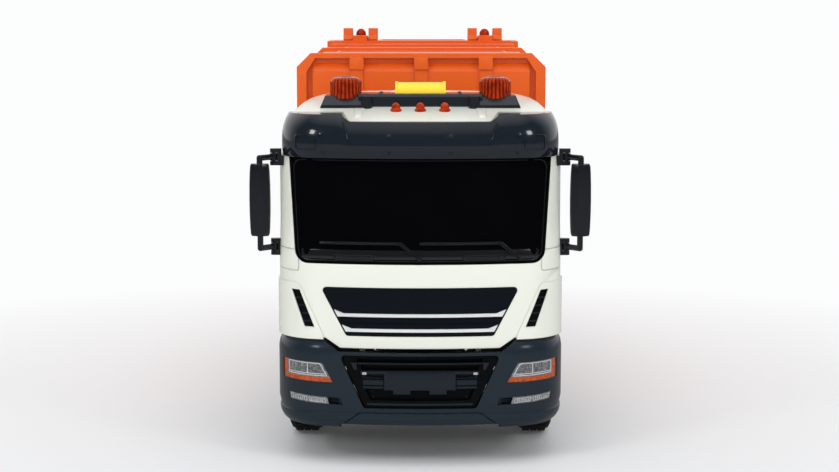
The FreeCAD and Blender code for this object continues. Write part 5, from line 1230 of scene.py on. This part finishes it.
# The outer ribs are moved out to where the real ones stand, 7.6 mm beyond those of the solid.
mesh = copied("body_shell")
for vert in mesh.verts:
    if vert.co.y < rib_back and rib_inner_x < abs(vert.co.x) < rib_outer_x:
        vert.co.x += math.copysign(rib_shift, vert.co.x)
piece = settled(mesh, "refuse_body", orange_plastic, outward=False)
fitted(piece, "chassis", orange_plastic.slot, "body_shell")
skinned("push_plate", "ejector_plate", orange_plastic)
mesh = bmesh.new()
marks = bmesh.new()
for x in rib_middles:
    cap = oblong(x - 4.4, 206.4, x + 4.4, 214.6)
    plate(mesh, cap, laid_flat("front", rib_cap_face), proud=0.9, corner=0.5, soft=0.35)
for side, sign in sides:
    lay = laid_on("body_shell", side)
    for start, end in bays:
        bay = oblong(start + 6, 90, end - 6, 198)
        sill = oblong(start + 1, 83.4, end - 1, 85.2)
        plate(mesh, bay, lay, proud=0.8, corner=4.0, soft=0.45, ring=2.2, pitch=30)
        plate(mesh, sill, lay, proud=0.6, soft=0.35, pitch=40)
        for station in range(start + 5, end - 2, rivet_pitch):
            stud(mesh, lay, station, 79.5, radius=1.0, proud=0.6, soft=0.3)
    for station in body_reflector_stations:
        mark = oblong(station - 5, 74.6, station + 5, 77.6)
        plate(marks, mark, lay, proud=0.6, corner=0.6, soft=0.2)
lay = laid_on("body_shell", "top")
for start, end in bays:
    bay = oblong(-56, start + 7, 56, end - 7)
    plate(mesh, bay, lay, proud=0.7, corner=4.0, soft=0.4, ring=2.2, pitch=30)
detail(mesh, "body_beads_and_rivets", "chassis", orange_plastic)
detail(marks, "body_side_reflectors", "chassis", amber_reflector)


# Tailgate. The orange hopper that swings up on ears over the body's hinge lugs, with a beacon
# between each pair of ears, lamps in its lower bar and the packer blade inside. Its cheeks carry
# a bead, the rams' covers, a blank button box and hand rails.
red_lens = tinted_lens("red_lamp_plastic", "red_lens", (200, 24, 18), (110, 8, 8))
ram_silver = moulded("bright_ram_plastic", "chrome_strip", (178, 181, 184), 0.25, shift=0.03)
red_plastic = moulded("red_button_plastic", "red_lens", (196, 30, 24), 0.35, shift=0.03)
green_plastic = moulded("green_button_plastic", "button_yellow", (40, 140, 62), 0.35, shift=0.03)
skinned("tailgate_shell", "tailgate_hopper", orange_plastic)
skinned("rear_beacons", "tailgate_beacons", beacon_lens)
skinned("tail_lamps", "tail_lamp_lenses", red_lens)
skinned("packer_blade", "packer", satin_black)
cheek = [(460, 62), (460, 208), (500, 208), (555, 184), (569, 161), (594, 88), (594, 63),
         (575, 43), (486, 43)]
cheek_presses = (
    [(470, 72), (470, 84), (582, 84), (584, 72)],
    [(470, 116), (470, 122), (572, 122), (574, 116)],
)
ram_x = 75.0
ram_cover = ((482, 192), (520, 142))
ram_cover_radius = 3.4 * mm
ram_rod = ((519, 143.4), (541, 114.4))
ram_rod_radius = 1.7 * mm
ram_eyes = ((480, 194.6), (542.5, 112.6))
hopper_rail = ((74.4, 583, 138), (78, 583, 138), (78, 596, 98), (74.4, 596, 98))
hopper_rail_radius = 1.1 * mm
button_box = oblong(486, 50, 508, 66)
button_face = 75.8
button_station = 492
silver_stud_station = 501
red_level = 54
green_level = 62
roof_press = oblong(-34, 459, 34, 497)
back_press = oblong(6, 172, 62, 180)
mesh = bmesh.new()
covers = bmesh.new()
rams = bmesh.new()
reds = bmesh.new()
greens = bmesh.new()
for side, sign in sides:
    lay = laid_on("tailgate_shell", side)
    plate(mesh, cheek, lay, proud=1.0, corner=5.0, soft=0.5, ring=2.6, pitch=40)
    for press in cheek_presses:
        plate(mesh, press, lay, proud=1.0, corner=1.5, soft=0.5, pitch=40)
    x = ram_x * sign
    pin(covers, *[at(x, *place) for place in ram_cover], ram_cover_radius, soft=0.6 * mm)
    pin(rams, *[at(x, *place) for place in ram_rod], ram_rod_radius, segments=20)
    for station, level in ram_eyes:
        stud(covers, lay, station, level, radius=4.2, proud=2.6, soft=0.6)
        stud(covers, lay, station, level, radius=1.8, proud=3.4, soft=0.4, segments=6)
    pipe(covers, [at(x * sign, station, level) for x, station, level in hopper_rail],
         hopper_rail_radius)
    plate(covers, button_box, lay, proud=1.8, corner=1.2, soft=0.5)
    box_lay = laid_flat(side, button_face * sign)
    for buttons, level in ((reds, red_level), (greens, green_level)):
        stud(buttons, box_lay, button_station, level, radius=1.6, proud=0.9, soft=0.4)
        stud(rams, box_lay, silver_stud_station, level, radius=1.3, proud=0.6, soft=0.3)
plate(
    mesh, roof_press, laid_on("tailgate_shell", "top"), proud=0.6, corner=3.0, soft=0.4, ring=2.2,
    pitch=30,
)
lay = laid_on("tailgate_shell", "back")
plate_pair(mesh, back_press, lay, proud=0.8, corner=1.5, soft=0.4, pitch=30)
detail(mesh, "tailgate_beads", "tailgate", orange_plastic)
detail(covers, "tailgate_ram_covers_and_rails", "tailgate", satin_black)
detail(rams, "tailgate_ram_rods", "tailgate", ram_silver)
detail(reds, "tailgate_red_buttons", "tailgate", red_plastic)
detail(greens, "tailgate_green_buttons", "tailgate", green_plastic)
lamp_frame = oblong(24.6, 38.1, 39.4, 44.9)
lamp_divider = oblong(31.6, 38.5, 32.4, 44.5)
lay = laid_on("tail_lamps", "back")
mesh = bmesh.new()
plate_pair(mesh, lamp_frame, lay, proud=0.35, corner=0.8, ring=0.7)
plate_pair(mesh, lamp_divider, lay, proud=0.35)
detail(mesh, "tail_lamp_frames", "tailgate", satin_black)


# Bin lift and rider steps. Black mouldings on the back of the hopper: a comb that takes the
# bins' rims, and a folding step with grip ribs at each corner.
skinned("bin_lift", "bin_comb", satin_black)
comb_bolt_xs = (8, 38)
comb_bolt_level = 66.5
comb_plate = oblong(12, 64.6, 17, 68.4)
grip_count = 5
grip_pitch = 2.6
grip_start = 2.4
lay = laid_on("bin_lift", "back")
mesh = bmesh.new()
for x in comb_bolt_xs:
    stud_pair(mesh, lay, x, comb_bolt_level, radius=1.3, proud=0.6, soft=0.3, segments=6)
plate_pair(mesh, comb_plate, lay, proud=0.6, corner=0.8, soft=0.3)
detail(mesh, "bin_comb_bolts", "bin_lifter", satin_black)
for side, sign in sides:
    node = "rider_step_" + side
    skinned(node, "rider_board_" + side, satin_black)
    low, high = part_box(node)
    lay = laid_on(node, "top")
    mesh = bmesh.new()
    for index in range(grip_count):
        station = (high.y - front) / mm - grip_start - index * grip_pitch
        grip = facing(sign, oblong(53, station, 70, station + 1.0))
        plate(mesh, grip, lay, proud=0.5, soft=0.25)
    detail(mesh, "rider_grip_" + side, side + "_step", satin_black)
